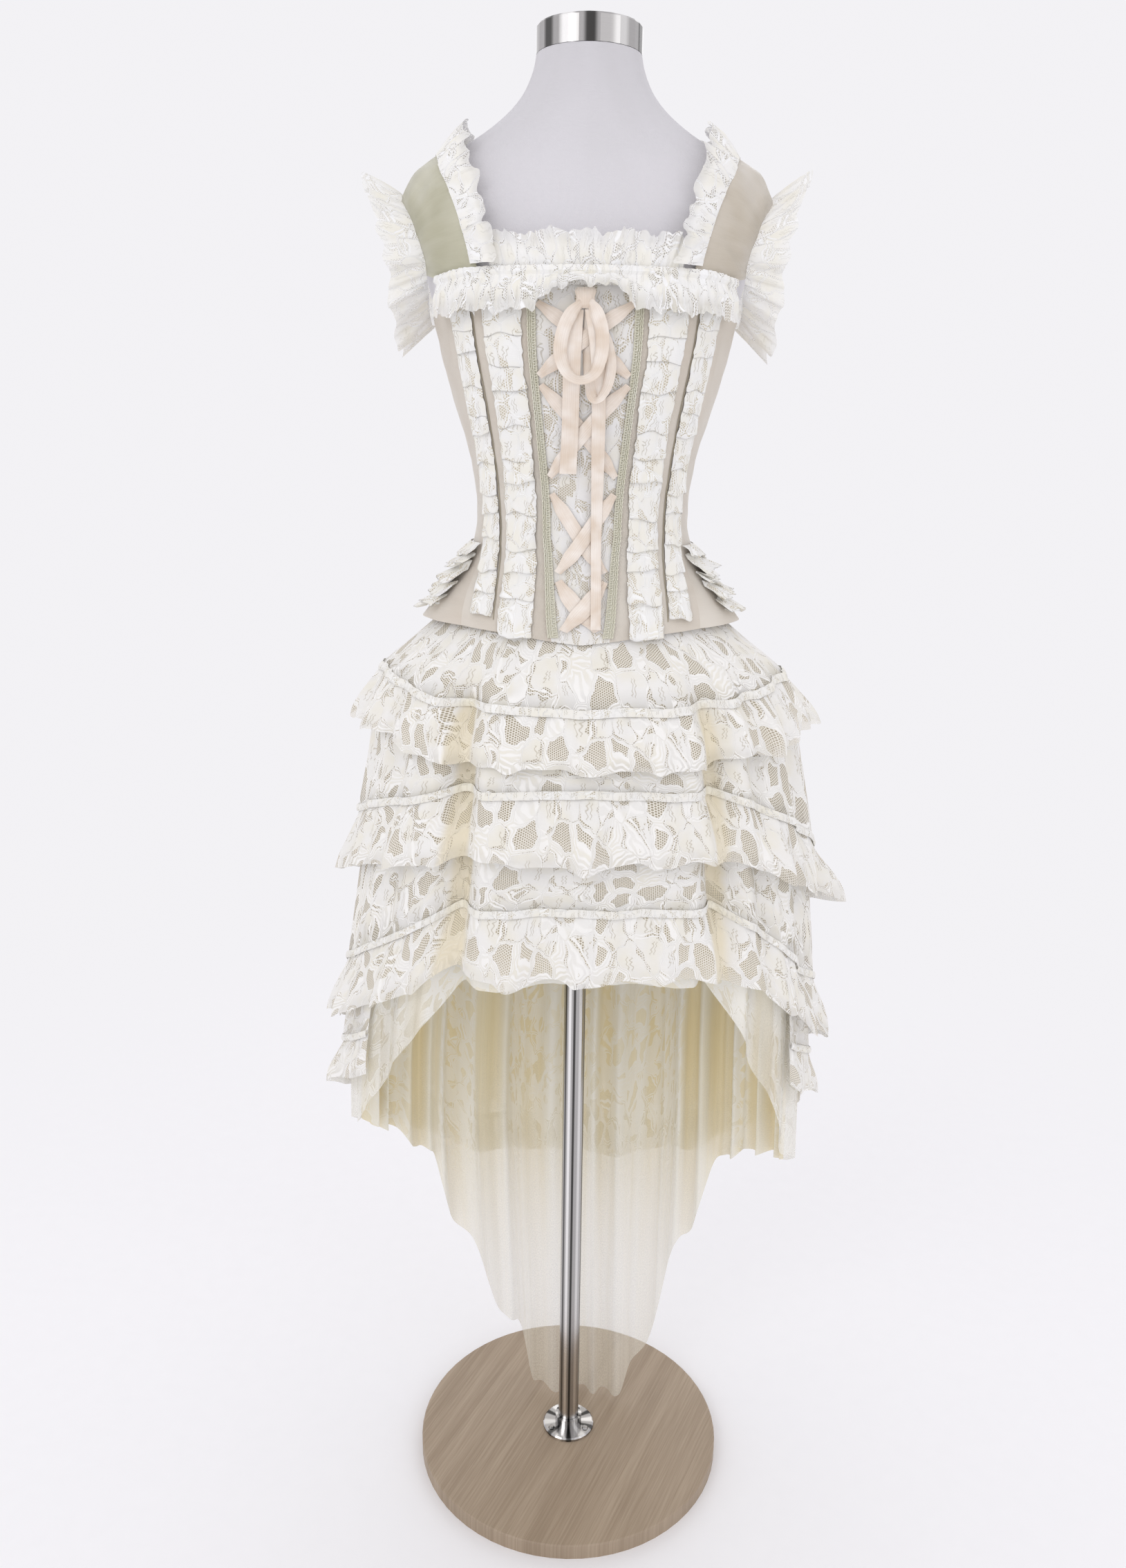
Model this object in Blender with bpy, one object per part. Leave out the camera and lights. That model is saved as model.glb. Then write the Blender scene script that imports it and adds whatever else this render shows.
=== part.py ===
"""Lace corset dress on a limbless dress form with a round wooden foot.

Metres, +Z up, the front of the dress looks along -Y. The origin is the centre of the foot's
underside. Angles run round the body in degrees: 0 is the centre front, +90 the side at +X.
Every ring of the body is two half ellipses, so a table row holds its half width and its depth
in front of and behind the pole.
"""
import math

import bmesh
import bpy
import numpy as np
from mathutils import Vector
from mathutils.bvhtree import BVHTree

# Stand
FOOT_RADIUS = 0.1857
FOOT_HEIGHT = 0.018
FOOT_ROUNDING = 0.0015
FLANGE_RADIUS = 0.032
FLANGE_HEIGHT = 0.004
COLLAR_RADIUS = 0.0165
COLLAR_HEIGHT = 0.012
SCREW_CIRCLE = 0.0245
SCREW_RADIUS = 0.004
SCREW_HEIGHT = 0.0022
POLE_RADIUS = 0.0125
POLE_BORE = 0.0112
POLE_TOP = 0.722
INNER_POLE_RADIUS = 0.0108
INNER_POLE_FOOT = 0.46
KNOB_HEIGHT = 0.702
KNOB_RADIUS = 0.0042
KNOB_LENGTH = 0.0095
GAP = 0.0003

# Form: height, half width, depth in front, depth behind
FORM = (
    (1.5830, 0.0495, 0.0495, 0.0495),
    (1.5600, 0.0560, 0.0545, 0.0520),
    (1.5400, 0.0680, 0.0580, 0.0550),
    (1.5250, 0.0850, 0.0620, 0.0580),
    (1.5080, 0.1090, 0.0680, 0.0640),
    (1.4920, 0.1400, 0.0740, 0.0700),
    (1.4750, 0.1660, 0.0800, 0.0760),
    (1.4500, 0.1790, 0.0880, 0.0830),
    (1.4200, 0.1740, 0.0960, 0.0880),
    (1.3950, 0.1620, 0.1030, 0.0920),
    (1.3740, 0.1550, 0.1080, 0.0928),
    (1.3400, 0.1463, 0.1153, 0.0928),
    (1.3020, 0.1378, 0.1178, 0.0908),
    (1.2620, 0.1263, 0.1108, 0.0868),
    (1.2220, 0.1133, 0.0968, 0.0808),
    (1.1800, 0.1058, 0.0878, 0.0778),
    (1.1400, 0.1058, 0.0868, 0.0798),
    (1.1100, 0.1120, 0.0880, 0.0860),
    (1.0800, 0.1210, 0.0890, 0.0910),
    (1.0500, 0.1320, 0.0920, 0.0980),
    (1.0000, 0.1480, 0.0980, 0.1080),
    (0.9400, 0.1580, 0.1000, 0.1120),
    (0.8800, 0.1600, 0.0980, 0.1060),
    (0.8200, 0.1560, 0.0920, 0.0980),
    (0.7800, 0.1500, 0.0860, 0.0920),
)
FORM_COLUMNS = 36
BUST_HEIGHT = 1.318
BUST_ANGLE = 34.0
BUST_DEPTH = 0.009
BUST_SPREAD = 17.0
BUST_RISE = 0.042
CAP_RADIUS = 0.0507
CAP_TOP = 1.6084

# Bodice: how far the inside of its panels stands off the form
BODICE_EASE = 0.0016
BODICE_WALL = 0.002
# height, half width, depth in front, depth behind
BODICE_FLARE = (
    (1.1400, 0.1070, 0.0880, 0.0810),
    (1.1100, 0.1190, 0.0910, 0.0910),
    (1.0800, 0.1420, 0.0950, 0.1050),
    (1.0500, 0.1680, 0.1000, 0.1180),
    (1.0300, 0.1800, 0.1040, 0.1240),
)
BODICE_ROWS = (1.080, 1.110, 1.140, 1.180, 1.222, 1.262, 1.302, 1.340)
# height, angle of the braid seam, of the front seam, of the side-front seam
SEAMS = (
    (1.400, 19.5, 43.0, 62.0),
    (1.340, 19.5, 42.0, 63.0),
    (1.222, 20.5, 40.0, 66.0),
    (1.140, 19.0, 38.0, 66.0),
    (1.080, 13.0, 30.0, 54.0),
    (1.030, 8.6, 20.0, 40.0),
)
SIDE_SEAM = 95.0
BACK_SEAM = 136.0
CENTRE_BACK = 180.0
# angle, height of the bodice's top edge, of its lower edge
BODICE_EDGES = (
    (0.0, 1.374, 1.0360),
    (20.0, 1.374, 1.0390),
    (45.0, 1.374, 1.0460),
    (66.0, 1.368, 1.0500),
    (82.0, 1.346, 1.0520),
    (118.0, 1.346, 1.0500),
    (134.0, 1.370, 1.0440),
    (180.0, 1.374, 1.0360),
)

# Skirt: height, half width, depth in front, depth behind, shift towards +X, all inside the lining
SKIRT = (
    (1.0700, 0.1290, 0.0906, 0.0960, 0.000),
    (1.0500, 0.1500, 0.0953, 0.1060, 0.000),
    (1.0350, 0.1660, 0.0985, 0.1150, 0.000),
    (1.0000, 0.2050, 0.1180, 0.1300, 0.002),
    (0.9500, 0.2260, 0.1350, 0.1420, 0.005),
    (0.9000, 0.2300, 0.1430, 0.1470, 0.007),
    (0.8500, 0.2360, 0.1490, 0.1480, 0.008),
    (0.7800, 0.2430, 0.1550, 0.1480, 0.008),
    (0.7000, 0.2500, 0.1590, 0.1470, 0.006),
    (0.6000, 0.2580, 0.1600, 0.1440, 0.003),
    (0.5000, 0.2630, 0.1590, 0.1380, 0.000),
    (0.4000, 0.2650, 0.1560, 0.1300, 0.000),
    (0.3000, 0.2600, 0.1500, 0.1200, 0.002),
    (0.2000, 0.2500, 0.1450, 0.1060, 0.004),
    (0.1000, 0.2400, 0.1400, 0.0870, 0.006),
    (0.0200, 0.2350, 0.1350, 0.0660, 0.008),
)
# angle of a fold's valley, its depth, its width in degrees
FOLDS = (
    (-33.0, 0.0300, 17.0),
    (35.0, 0.0280, 16.0),
    (49.0, 0.0120, 11.0),
    (-56.0, 0.0090, 15.0),
    (-10.0, 0.0050, 18.0),
    (14.0, 0.0045, 16.0),
    (70.0, 0.0100, 17.0),
    (-78.0, 0.0110, 18.0),
    (94.0, 0.0090, 18.0),
    (-101.0, 0.0100, 18.0),
    (119.0, 0.0120, 20.0),
    (-126.0, 0.0110, 20.0),
    (143.0, 0.0100, 18.0),
    (-152.0, 0.0120, 20.0),
    (168.0, 0.0110, 18.0),
)
FOLD_TOP = 1.040
FOLD_FULL = 0.950
# angle, hem height of each tier, of the back panel and of the lining
HEMS = (
    (-180.0, 0.920, 0.700, 0.460, 0.330, 0.024),
    (-166.0, 0.920, 0.700, 0.460, 0.330, 0.026),
    (-160.0, 0.920, 0.700, 0.462, 0.332, 0.110),
    (-152.0, 0.921, 0.702, 0.468, 0.340, 0.175),
    (-143.0, 0.923, 0.706, 0.478, 0.355, 0.260),
    (-135.0, 0.926, 0.712, 0.492, 0.375, 0.360),
    (-120.0, 0.932, 0.730, 0.525, 0.425, 0.400),
    (-90.0, 0.945, 0.770, 0.590, 0.505, 0.452),
    (-70.0, 0.942, 0.790, 0.620, 0.535, 0.475),
    (-45.0, 0.926, 0.812, 0.670, 0.580, 0.600),
    (-33.0, 0.922, 0.824, 0.700, 0.620, 0.680),
    (0.0, 0.920, 0.831, 0.711, 0.640, 0.698),
    (33.0, 0.922, 0.826, 0.705, 0.620, 0.690),
    (45.0, 0.926, 0.812, 0.680, 0.580, 0.610),
    (70.0, 0.940, 0.770, 0.605, 0.530, 0.440),
    (90.0, 0.943, 0.735, 0.575, 0.500, 0.405),
    (120.0, 0.932, 0.715, 0.520, 0.420, 0.385),
    (135.0, 0.926, 0.708, 0.490, 0.375, 0.350),
    (143.0, 0.923, 0.704, 0.478, 0.355, 0.270),
    (152.0, 0.921, 0.702, 0.468, 0.340, 0.150),
    (163.0, 0.920, 0.700, 0.460, 0.330, 0.026),
    (180.0, 0.920, 0.700, 0.460, 0.330, 0.024),
)
# name, hem column, top height, stand-off at the top, seam and hem, wave left and right, ruffle height
TIERS = (
    ("tier_1", 1, 1.062, 0.0016, 0.0085, 0.0140, 0.011, 0.018, 0.054),
    ("tier_2", 2, 0.948, 0.0016, 0.0100, 0.0170, 0.014, 0.027, 0.066),
    ("tier_3", 3, 0.860, 0.0016, 0.0100, 0.0160, 0.022, 0.019, 0.068),
)
TIER_WALL = 0.0012
FRONT_WAVES = 11
BACK_WAVES = 9
COLUMNS_PER_WAVE = 4
BACK_PANEL_EDGE = 60.0
BACK_PANEL = ("back_panel", 4, 0.700, 0.00315, 0.0078, 0.0101, 0.014, 0.014, 0.050)
BACK_PANEL_SEED = 0.4
# share of a band's height at which it has more rows, on the top tier and on the lower ones
TOP_BANDS = (0.32, 0.72)
LOW_BANDS = (0.45,)
HEM_DIP = 0.004
LINING_WALL = 0.001
LINING_ROWS = (1.070, 1.035, 1.000, 0.950, 0.900)
LINING_WAVE = 0.006
LINING_WAVE_TOP = 0.66

# Trimmings on the bodice
TOP_EDGE = 1.374
STRIP_EASE = 0.0015
STRIP_LIFT = 0.0055
STRIP_ROOT = 0.001
STRIP_CROWN = 0.0008
STRIP_PLEATS = 11
PLEAT_FALL = 0.55
# upper and lower end of each pleated strip and of the hip ruffle
INNER_SPAN = (1.350, 1.050)
OUTER_SPAN = (1.350, 1.062)
HIP_SPAN = (1.128, 1.066)
# at three heights: how far a strip's middle lies beyond the braid's seam, and its width
STRIP_HEIGHTS = (1.03, 1.14, 1.35)
INNER_REACH = 0.0225
INNER_WIDTH = (0.022, 0.031, 0.033)
OUTER_REACH = (0.054, 0.061, 0.074)
OUTER_WIDTH = (0.020, 0.027, 0.034)
OUTER_BEYOND = 20.0
HIP_ANGLE = 81.0
HIP_WIDTH = 0.074
HIP_PLEATS = 4
HIP_LIFT = 0.012
HIP_COLUMNS = 5
BRAID_WIDTH = 0.0075
BRAID_HEIGHT = 0.0026
BRAID_SPAN = (1.365, 1.044)
BRAID_STEPS = 14
BRAID_BUMP = 0.0006
BRAID_EDGE = 0.55
BRAID_INSET = 0.4
RIBBON_WIDTH = 0.0125
RIBBON_WALL = 0.001
RIBBON_STEPS = 6
RIBBON_EASE = 0.0009
RIBBON_INSET = 0.85
TRIM_EASE = 0.0009
BOW_STAND_OFF = BODICE_WALL + TRIM_EASE + 2.0 * RIBBON_WALL + 0.0022
# height, half width in degrees, thickness
BOW_KNOT = (
    (1.3464, 2.9, 0.003),
    (1.3510, 3.6, 0.006),
    (1.3610, 3.6, 0.006),
    (1.3650, 3.2, 0.003),
)
KNOT_EDGE = 0.6
# the drooping loops: where they leave the knot, how far they fall, spread, bulge and lean forward
LOOP_TOP = 1.350
LOOP_DROP = 0.073
LOOP_INNER = 0.0117
LOOP_SPREAD = 0.0092
LOOP_BULGE = 0.0105
LOOP_WIDTH = 0.0100
LOOP_LEAN = 0.006
LOOP_STAND_OFF = 0.0028
LOOP_GAP = 0.06
LOOP_STEPS = 14
# angle and height along each tail; the right one hangs turned, so it looks narrower
LEFT_TAIL = ((-3.7, 1.346), (-4.4, 1.310), (-5.5, 1.250), (-7.0, 1.200))
RIGHT_TAIL = ((2.8, 1.346), (5.0, 1.300), (6.6, 1.220), (7.0, 1.140), (5.0, 1.052))
TURNED_RIBBON = 0.0088
TAIL_STEPS = 12
# height of each crossing's upper ends, of its lower ends
LACING = (
    (1.352, 1.288),
    (1.280, 1.197),
    (1.181, 1.106),
    (1.098, 1.050),
)

# Straps: angle over the shoulder from the front, tilt of the inner and of the outer edge
STRAP = (
    (-13.0, 8.0, 61.0),
    (20.0, 17.0, 60.0),
    (55.0, 25.0, 59.0),
    (90.0, 28.0, 58.0),
    (125.0, 24.0, 56.0),
    (160.0, 10.0, 50.0),
    (194.0, -2.0, 46.0),
)
STRAP_CENTRE = (0.085, 0.0, 1.395)
STRAP_STAND_OFF = 0.0043
STRAP_WALL = 0.0014
STRAP_ROWS = 16
STRAP_COLUMNS = 4
RUFFLE_WALL = 0.001

# Ruffle along the strap's inner edge: tilt from that edge and lift of each row
NECK_RUFFLE = ((3.0, 0.0), (-6.0, 0.0030), (-14.0, 0.0045))
NECK_RUFFLE_SPAN = (2.0, 178.0)
NECK_RUFFLE_WAVES = 5
NECK_RUFFLE_WAVE = 0.007
NECK_RUFFLE_SEED = 0.9
RUFFLE_EASE = 0.0010
SLOPE_WALL = 1.2
# Ruffle round the armhole: angle round it, tilt of its seam
ARMHOLE = (
    (-90.0, 51.0),
    (-50.0, 55.0),
    (-16.0, 58.0),
    (20.0, 57.0),
    (55.0, 56.0),
    (90.0, 55.0),
    (125.0, 53.0),
    (160.0, 47.0),
    (194.0, 44.0),
    (230.0, 47.0),
    (270.0, 51.0),
)
ARMHOLE_ROWS = (0.0, 0.45, 1.0)
ARMHOLE_WAVES = 9
ARMHOLE_STAND_OFF = 0.0062
ARMHOLE_REACH = 0.036
ARMHOLE_SPREAD = 0.004
ARMHOLE_WAVE = 0.011
ARMHOLE_SEED = 0.3
ARMHOLE_FALL = 0.45
# how far each armhole's ruffle rises over the shoulder
ARMHOLE_RISE = {"left": 0.10, "right": 0.35}
# Ruffles along the front's top edge: height, stand-off and share of the wave of each row
OVER_STRAPS = STRAP_STAND_OFF + STRAP_WALL - BODICE_EASE + 0.0008
NEXT_TO_FORM = BODICE_WALL + 0.0010
TOP_RUFFLE = (
    (1.382, OVER_STRAPS, 0.0),
    (1.365, OVER_STRAPS + 0.006, 0.5),
    (1.345, OVER_STRAPS + 0.008, 1.0),
)
NECK_EDGE_RUFFLE = (
    (1.3675, NEXT_TO_FORM, 0.0),
    (1.386, NEXT_TO_FORM, 0.0),
    (1.412, NEXT_TO_FORM + 0.0035, 1.0),
)
TOP_RUFFLE_WAVE = 0.008
TOP_RUFFLE_SEED = 1.2
# the top ruffle is drawn up over the bow: how far, over how many degrees, and how softly
DRAWN_UP = 0.028
DRAWN_SPAN = 6.0
DRAWN_EASE = 14.0


def smoothstep(value):
    value = min(max(value, 0.0), 1.0)
    return value * value * (3.0 - 2.0 * value)


def look_up(table, key, column):
    """Read a table's column at a key by straight lines between its rows."""
    rows = sorted(table)
    return float(np.interp(key, [row[0] for row in rows], [row[column] for row in rows]))


def ring_sizes(table, height):
    return tuple(look_up(table, height, column) for column in (1, 2, 3))


def ring_point(sizes, angle, height, out=0.0):
    """A point on a ring of two half ellipses, moved out along the ring's own normal."""
    width, front, back = sizes
    turn = math.radians(angle)
    depth = front if math.cos(turn) > 0 else back
    normal = Vector((depth * math.sin(turn), -width * math.cos(turn), 0.0)).normalized()
    place = Vector((width * math.sin(turn), -depth * math.cos(turn), height))
    return place + normal * out


def wrap(angle):
    return (angle + 180.0) % 360.0 - 180.0


def bust(angle, height):
    """The form's two cups, as how far they stand out of the plain ring."""
    across = (abs(wrap(angle)) - BUST_ANGLE) / BUST_SPREAD
    along = (height - BUST_HEIGHT) / BUST_RISE
    return BUST_DEPTH * math.exp(-across * across - along * along)


def form_point(angle, height, out=0.0):
    return ring_point(ring_sizes(FORM, height), angle, height, out + bust(angle, height))


def bodice_point(angle, height, out=0.0):
    """A point on the inside of the bodice, moved out by a stand-off."""
    if height >= BODICE_FLARE[0][0]:
        return form_point(angle, height, BODICE_EASE + out)
    return ring_point(ring_sizes(BODICE_FLARE, height), angle, height, out + bust(angle, height))


def make_material(name, colour, roughness, metallic=0.0):
    made = bpy.data.materials.new(name)
    made.use_nodes = True
    shader = made.node_tree.nodes["Principled BSDF"]
    shader.inputs["Base Color"].default_value = (*colour, 1.0)
    shader.inputs["Roughness"].default_value = roughness
    shader.inputs["Metallic"].default_value = metallic
    return made


def make_object(name, points, faces, material, smooth=True):
    """One closed mesh with its faces turned outwards."""
    mesh = bpy.data.meshes.new(name)
    mesh.from_pydata([tuple(point) for point in points], [], faces)
    work = bmesh.new()
    work.from_mesh(mesh)
    bmesh.ops.recalc_face_normals(work, faces=work.faces)
    work.to_mesh(mesh)
    work.free()
    if smooth:
        mesh.shade_smooth()
        mesh.set_sharp_from_angle(angle=math.radians(50.0))
    mesh.materials.append(material)
    made = bpy.data.objects.new(name, mesh)
    bpy.context.scene.collection.objects.link(made)
    return made


def wall_between(name, inside, outside, material, ring=False):
    """Close two grids of the same size, rows of points, into one wall."""
    rows, columns = len(inside), len(inside[0])
    points = [point for row in inside for point in row] + [point for row in outside for point in row]
    half = rows * columns
    steps = columns if ring else columns - 1
    faces = []
    for row in range(rows - 1):
        for column in range(steps):
            near, far = row * columns + column, row * columns + (column + 1) % columns
            faces.append((near, far, far + columns, near + columns))
            faces.append((half + near, half + near + columns, half + far + columns, half + far))
    for row in (0, rows - 1):
        for column in range(steps):
            near, far = row * columns + column, row * columns + (column + 1) % columns
            faces.append((near, far, half + far, half + near))
    if not ring:
        for column in (0, columns - 1):
            for row in range(rows - 1):
                near, far = row * columns + column, (row + 1) * columns + column
                faces.append((near, far, half + far, half + near))
    return make_object(name, points, faces, material)


def thickened(grid, wall, facing):
    """Move each point of a grid out by a wall's thickness along the grid's normal there."""
    moved = []
    for r, row in enumerate(grid):
        moved.append([])
        for c, point in enumerate(row):
            along = row[min(c + 1, len(row) - 1)] - row[max(c - 1, 0)]
            down = grid[min(r + 1, len(grid) - 1)][c] - grid[max(r - 1, 0)][c]
            normal = along.cross(down).normalized()
            if normal.dot(facing(point)) < 0:
                normal = -normal
            moved[-1].append(point + normal * wall)
    return moved


def from_axis(point):
    """The level direction from the body's middle to a point, for telling outside from inside."""
    return Vector((point.x, point.y * 1.6, 0.0))


def turned(name, profile, material, sides, centre=(0.0, 0.0)):
    """A solid of revolution about a vertical axis from (radius, height) pairs."""
    points, rings = [], []
    for radius, height in profile:
        if radius == 0.0:
            rings.append([len(points)])
            points.append((centre[0], centre[1], height))
            continue
        rings.append(list(range(len(points), len(points) + sides)))
        for side in range(sides):
            turn = 2.0 * math.pi * side / sides
            x, y = centre[0] + radius * math.cos(turn), centre[1] + radius * math.sin(turn)
            points.append((x, y, height))
    faces = []
    closed = profile[0][0] != 0.0
    pairs = list(zip(rings, rings[1:] + rings[:1])) if closed else list(zip(rings, rings[1:]))
    for low, high in pairs:
        for side in range(sides):
            after = (side + 1) % sides
            corners = [low[side % len(low)], low[after % len(low)]]
            corners += [high[after % len(high)], high[side % len(high)]]
            corners = list(dict.fromkeys(corners))
            if len(corners) > 2:
                faces.append(tuple(corners))
    return make_object(name, points, faces, material)


def make_stand(wood, steel, black):
    edge = FOOT_ROUNDING
    turned(
        "base_disc",
        (
            (0.0, 0.0),
            (FOOT_RADIUS, 0.0),
            (FOOT_RADIUS, FOOT_HEIGHT - edge),
            (FOOT_RADIUS - edge, FOOT_HEIGHT),
            (0.0, FOOT_HEIGHT),
        ),
        wood,
        64,
    )
    low = FOOT_HEIGHT + GAP
    top = low + FLANGE_HEIGHT
    bore = POLE_RADIUS + GAP
    turned(
        "base_flange",
        (
            (0.0, low),
            (FLANGE_RADIUS, low),
            (FLANGE_RADIUS, top - 0.0015),
            (FLANGE_RADIUS - 0.0015, top),
            (COLLAR_RADIUS, top),
            (COLLAR_RADIUS, top + COLLAR_HEIGHT),
            (bore, top + COLLAR_HEIGHT),
            (bore, top),
            (0.0, top),
        ),
        steel,
        24,
    )
    seat = top + GAP
    for number in range(3):
        turn = math.radians(-30.0 + 120.0 * number)
        turned(
            f"base_screw_{number + 1}",
            (
                (0.0, seat),
                (SCREW_RADIUS, seat),
                (SCREW_RADIUS * 0.75, seat + SCREW_HEIGHT * 0.8),
                (0.0, seat + SCREW_HEIGHT),
            ),
            steel,
            8,
            (SCREW_CIRCLE * math.cos(turn), SCREW_CIRCLE * math.sin(turn)),
        )
    turned(
        "pole_lower",
        ((POLE_BORE, seat), (POLE_RADIUS, seat), (POLE_RADIUS, POLE_TOP), (POLE_BORE, POLE_TOP)),
        steel,
        24,
    )
    turned(
        "pole_upper",
        (
            (0.0, INNER_POLE_FOOT),
            (INNER_POLE_RADIUS, INNER_POLE_FOOT),
            (INNER_POLE_RADIUS, FORM[-1][0] - GAP),
            (0.0, FORM[-1][0] - GAP),
        ),
        steel,
        24,
    )
    make_knob(black)


def make_knob(black):
    """The clamp screw's head, a short round bar along +X beside the lower pole."""
    sides = 12
    start = POLE_RADIUS + GAP
    points = []
    for reach in (start, start + KNOB_LENGTH):
        for side in range(sides):
            turn = 2.0 * math.pi * side / sides
            points.append((reach, KNOB_RADIUS * math.cos(turn), KNOB_HEIGHT + KNOB_RADIUS * math.sin(turn)))
    faces = [tuple(range(sides)), tuple(range(sides, 2 * sides))]
    for side in range(sides):
        after = (side + 1) % sides
        faces.append((side, after, after + sides, side + sides))
    make_object("clamp_knob", points, faces, black)


def make_form(jersey, steel):
    """The torso, returned for the straps to lie on, and the steel cap on its neck."""
    points, faces = [], []
    for height, *_ in FORM:
        for column in range(FORM_COLUMNS):
            points.append(form_point(wrap(360.0 * column / FORM_COLUMNS), height))
    for row in range(len(FORM) - 1):
        for column in range(FORM_COLUMNS):
            after = (column + 1) % FORM_COLUMNS
            start = row * FORM_COLUMNS
            below = start + FORM_COLUMNS
            faces.append((start + column, start + after, below + after, below + column))
    faces.append(tuple(range(FORM_COLUMNS)))
    last = (len(FORM) - 1) * FORM_COLUMNS
    faces.append(tuple(range(last, last + FORM_COLUMNS)))
    torso = make_object("form_torso", points, faces, jersey)
    low = FORM[0][0] + GAP
    turned(
        "neck_cap",
        (
            (0.0, low),
            (CAP_RADIUS, low),
            (CAP_RADIUS, CAP_TOP - 0.0022),
            (CAP_RADIUS - 0.0012, CAP_TOP - 0.0006),
            (CAP_RADIUS - 0.0035, CAP_TOP),
            (0.0, CAP_TOP),
        ),
        steel,
        32,
    )
    return torso


def make_panel(name, left, right, columns, material):
    """A bodice panel between two seams, each a function from height to angle."""
    inside = []
    for row in range(len(BODICE_ROWS) + 2):
        points = []
        for column in range(columns + 1):
            share = column / columns
            guess = BODICE_ROWS[min(max(row - 1, 0), len(BODICE_ROWS) - 1)]
            middle = left(guess) + (right(guess) - left(guess)) * share
            top = look_up(BODICE_EDGES, abs(wrap(middle)), 1)
            low = look_up(BODICE_EDGES, abs(wrap(middle)), 2)
            height = min(max(guess, low + 0.006), top - 0.005)
            if row == 0:
                height = low
            if row == len(BODICE_ROWS) + 1:
                height = top
            radius = bodice_point(middle, height).xy.length
            trim = math.degrees(0.5 * GAP / radius) * (1.0 - 2.0 * share)
            angle = left(height) + (right(height) - left(height)) * share + trim
            points.append(bodice_point(angle, height))
        inside.append(points)
    wall_between(name, inside, thickened(inside, BODICE_WALL, from_axis), material)


def seam(column, side=1.0):
    return lambda height: side * look_up(SEAMS, height, column)


def straight(angle):
    return lambda height: angle


def make_bodice(satin, lace):
    make_panel("bodice_centre_front", seam(1, -1.0), seam(1), 5, lace)
    for side, word in ((-1.0, "left"), (1.0, "right")):
        edges = (seam(1, side), seam(2, side), seam(3, side))
        edges += (straight(side * SIDE_SEAM), straight(side * BACK_SEAM), straight(side * CENTRE_BACK))
        names = ("side_front", "mid_front", "side", "side_back", "back")
        counts = (3, 3, 4, 5, 5)
        for name, near, far, count in zip(names, edges, edges[1:], counts):
            left, right = (near, far) if side > 0 else (far, near)
            make_panel(f"bodice_{name}_{word}", left, right, count, satin)


def on_panel(name, rows, material):
    """A plain-backed strip on the bodice from rows of (angle, height, inner, outer stand-off)."""
    inside = [[bodice_point(angle, height, low) for angle, height, low, _ in row] for row in rows]
    outside = [[bodice_point(angle, height, high) for angle, height, _, high in row] for row in rows]
    wall_between(name, inside, outside, material)


def make_strip(name, middle, width, ends, pleats, material, lift=STRIP_LIFT, columns=2):
    """A pleated lace strip: each pleat opens downwards over the next one."""
    top, low = ends
    base = BODICE_WALL + STRIP_EASE
    rows = []
    for step in range(2 * pleats + 1):
        height = top + (low - top) * (step + (PLEAT_FALL if step % 2 else 0.0)) / (2 * pleats)
        height = max(height, low)
        radius = bodice_point(middle(height), height).xy.length
        reach = math.degrees(0.5 * width(height) / radius)
        out = base + STRIP_ROOT + (lift if step % 2 else 0.0)
        row = []
        for column in range(columns + 1):
            share = 2.0 * column / columns - 1.0
            crown = STRIP_CROWN * (1.0 - abs(share))
            row.append((middle(height) + share * reach, height, base, out + crown))
        rows.append(row)
    on_panel(name, rows, material)


def degrees_across(angle, height, distance):
    return math.degrees(distance / bodice_point(angle, height).xy.length)


def by_height(values):
    """A function from height to a strip's reach or width."""
    return lambda height: float(np.interp(height, STRIP_HEIGHTS, values))


def make_front_trim(lace, braid_cotton):
    """Two pleated strips and a loop braid on each side of the lacing, ruffles on each hip."""
    for side, word in ((-1.0, "left"), (1.0, "right")):
        def inner(height, side=side):
            angle = look_up(SEAMS, height, 1)
            return side * (angle + degrees_across(angle, height, INNER_REACH))

        def outer(height, side=side):
            angle = look_up(SEAMS, height, 1)
            reach = by_height(OUTER_REACH)(height)
            return side * (angle + degrees_across(angle + OUTER_BEYOND, height, reach))

        strips = (("inner", inner, INNER_WIDTH, INNER_SPAN), ("outer", outer, OUTER_WIDTH, OUTER_SPAN))
        for place, middle, widths, ends in strips:
            name = f"front_strip_{place}_{word}"
            make_strip(name, middle, by_height(widths), ends, STRIP_PLEATS, lace)
        middle, width = straight(side * HIP_ANGLE), straight(HIP_WIDTH)
        name = f"hip_ruffle_{word}"
        make_strip(name, middle, width, HIP_SPAN, HIP_PLEATS, lace, HIP_LIFT, HIP_COLUMNS)
        make_braid(f"braid_{word}", side, braid_cotton)


def make_braid(name, side, braid_cotton):
    """The loop braid along the edge of the lacing, thickest along its middle."""
    base = BODICE_WALL + STRIP_EASE
    top, low = BRAID_SPAN
    rows = []
    for step in range(BRAID_STEPS + 1):
        height = top + (low - top) * step / BRAID_STEPS
        angle = look_up(SEAMS, height, 1)
        half = degrees_across(angle, height, 0.5 * BRAID_WIDTH)
        bump = BRAID_BUMP if step % 2 else 0.0
        middle = side * (angle - BRAID_INSET * half)
        rows.append(
            [(middle + share * half, height, base, base + BRAID_HEIGHT * high + bump)
             for share, high in ((-1.0, BRAID_EDGE), (0.0, 1.0), (1.0, BRAID_EDGE))]
        )
    on_panel(name, rows, braid_cotton)


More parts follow.
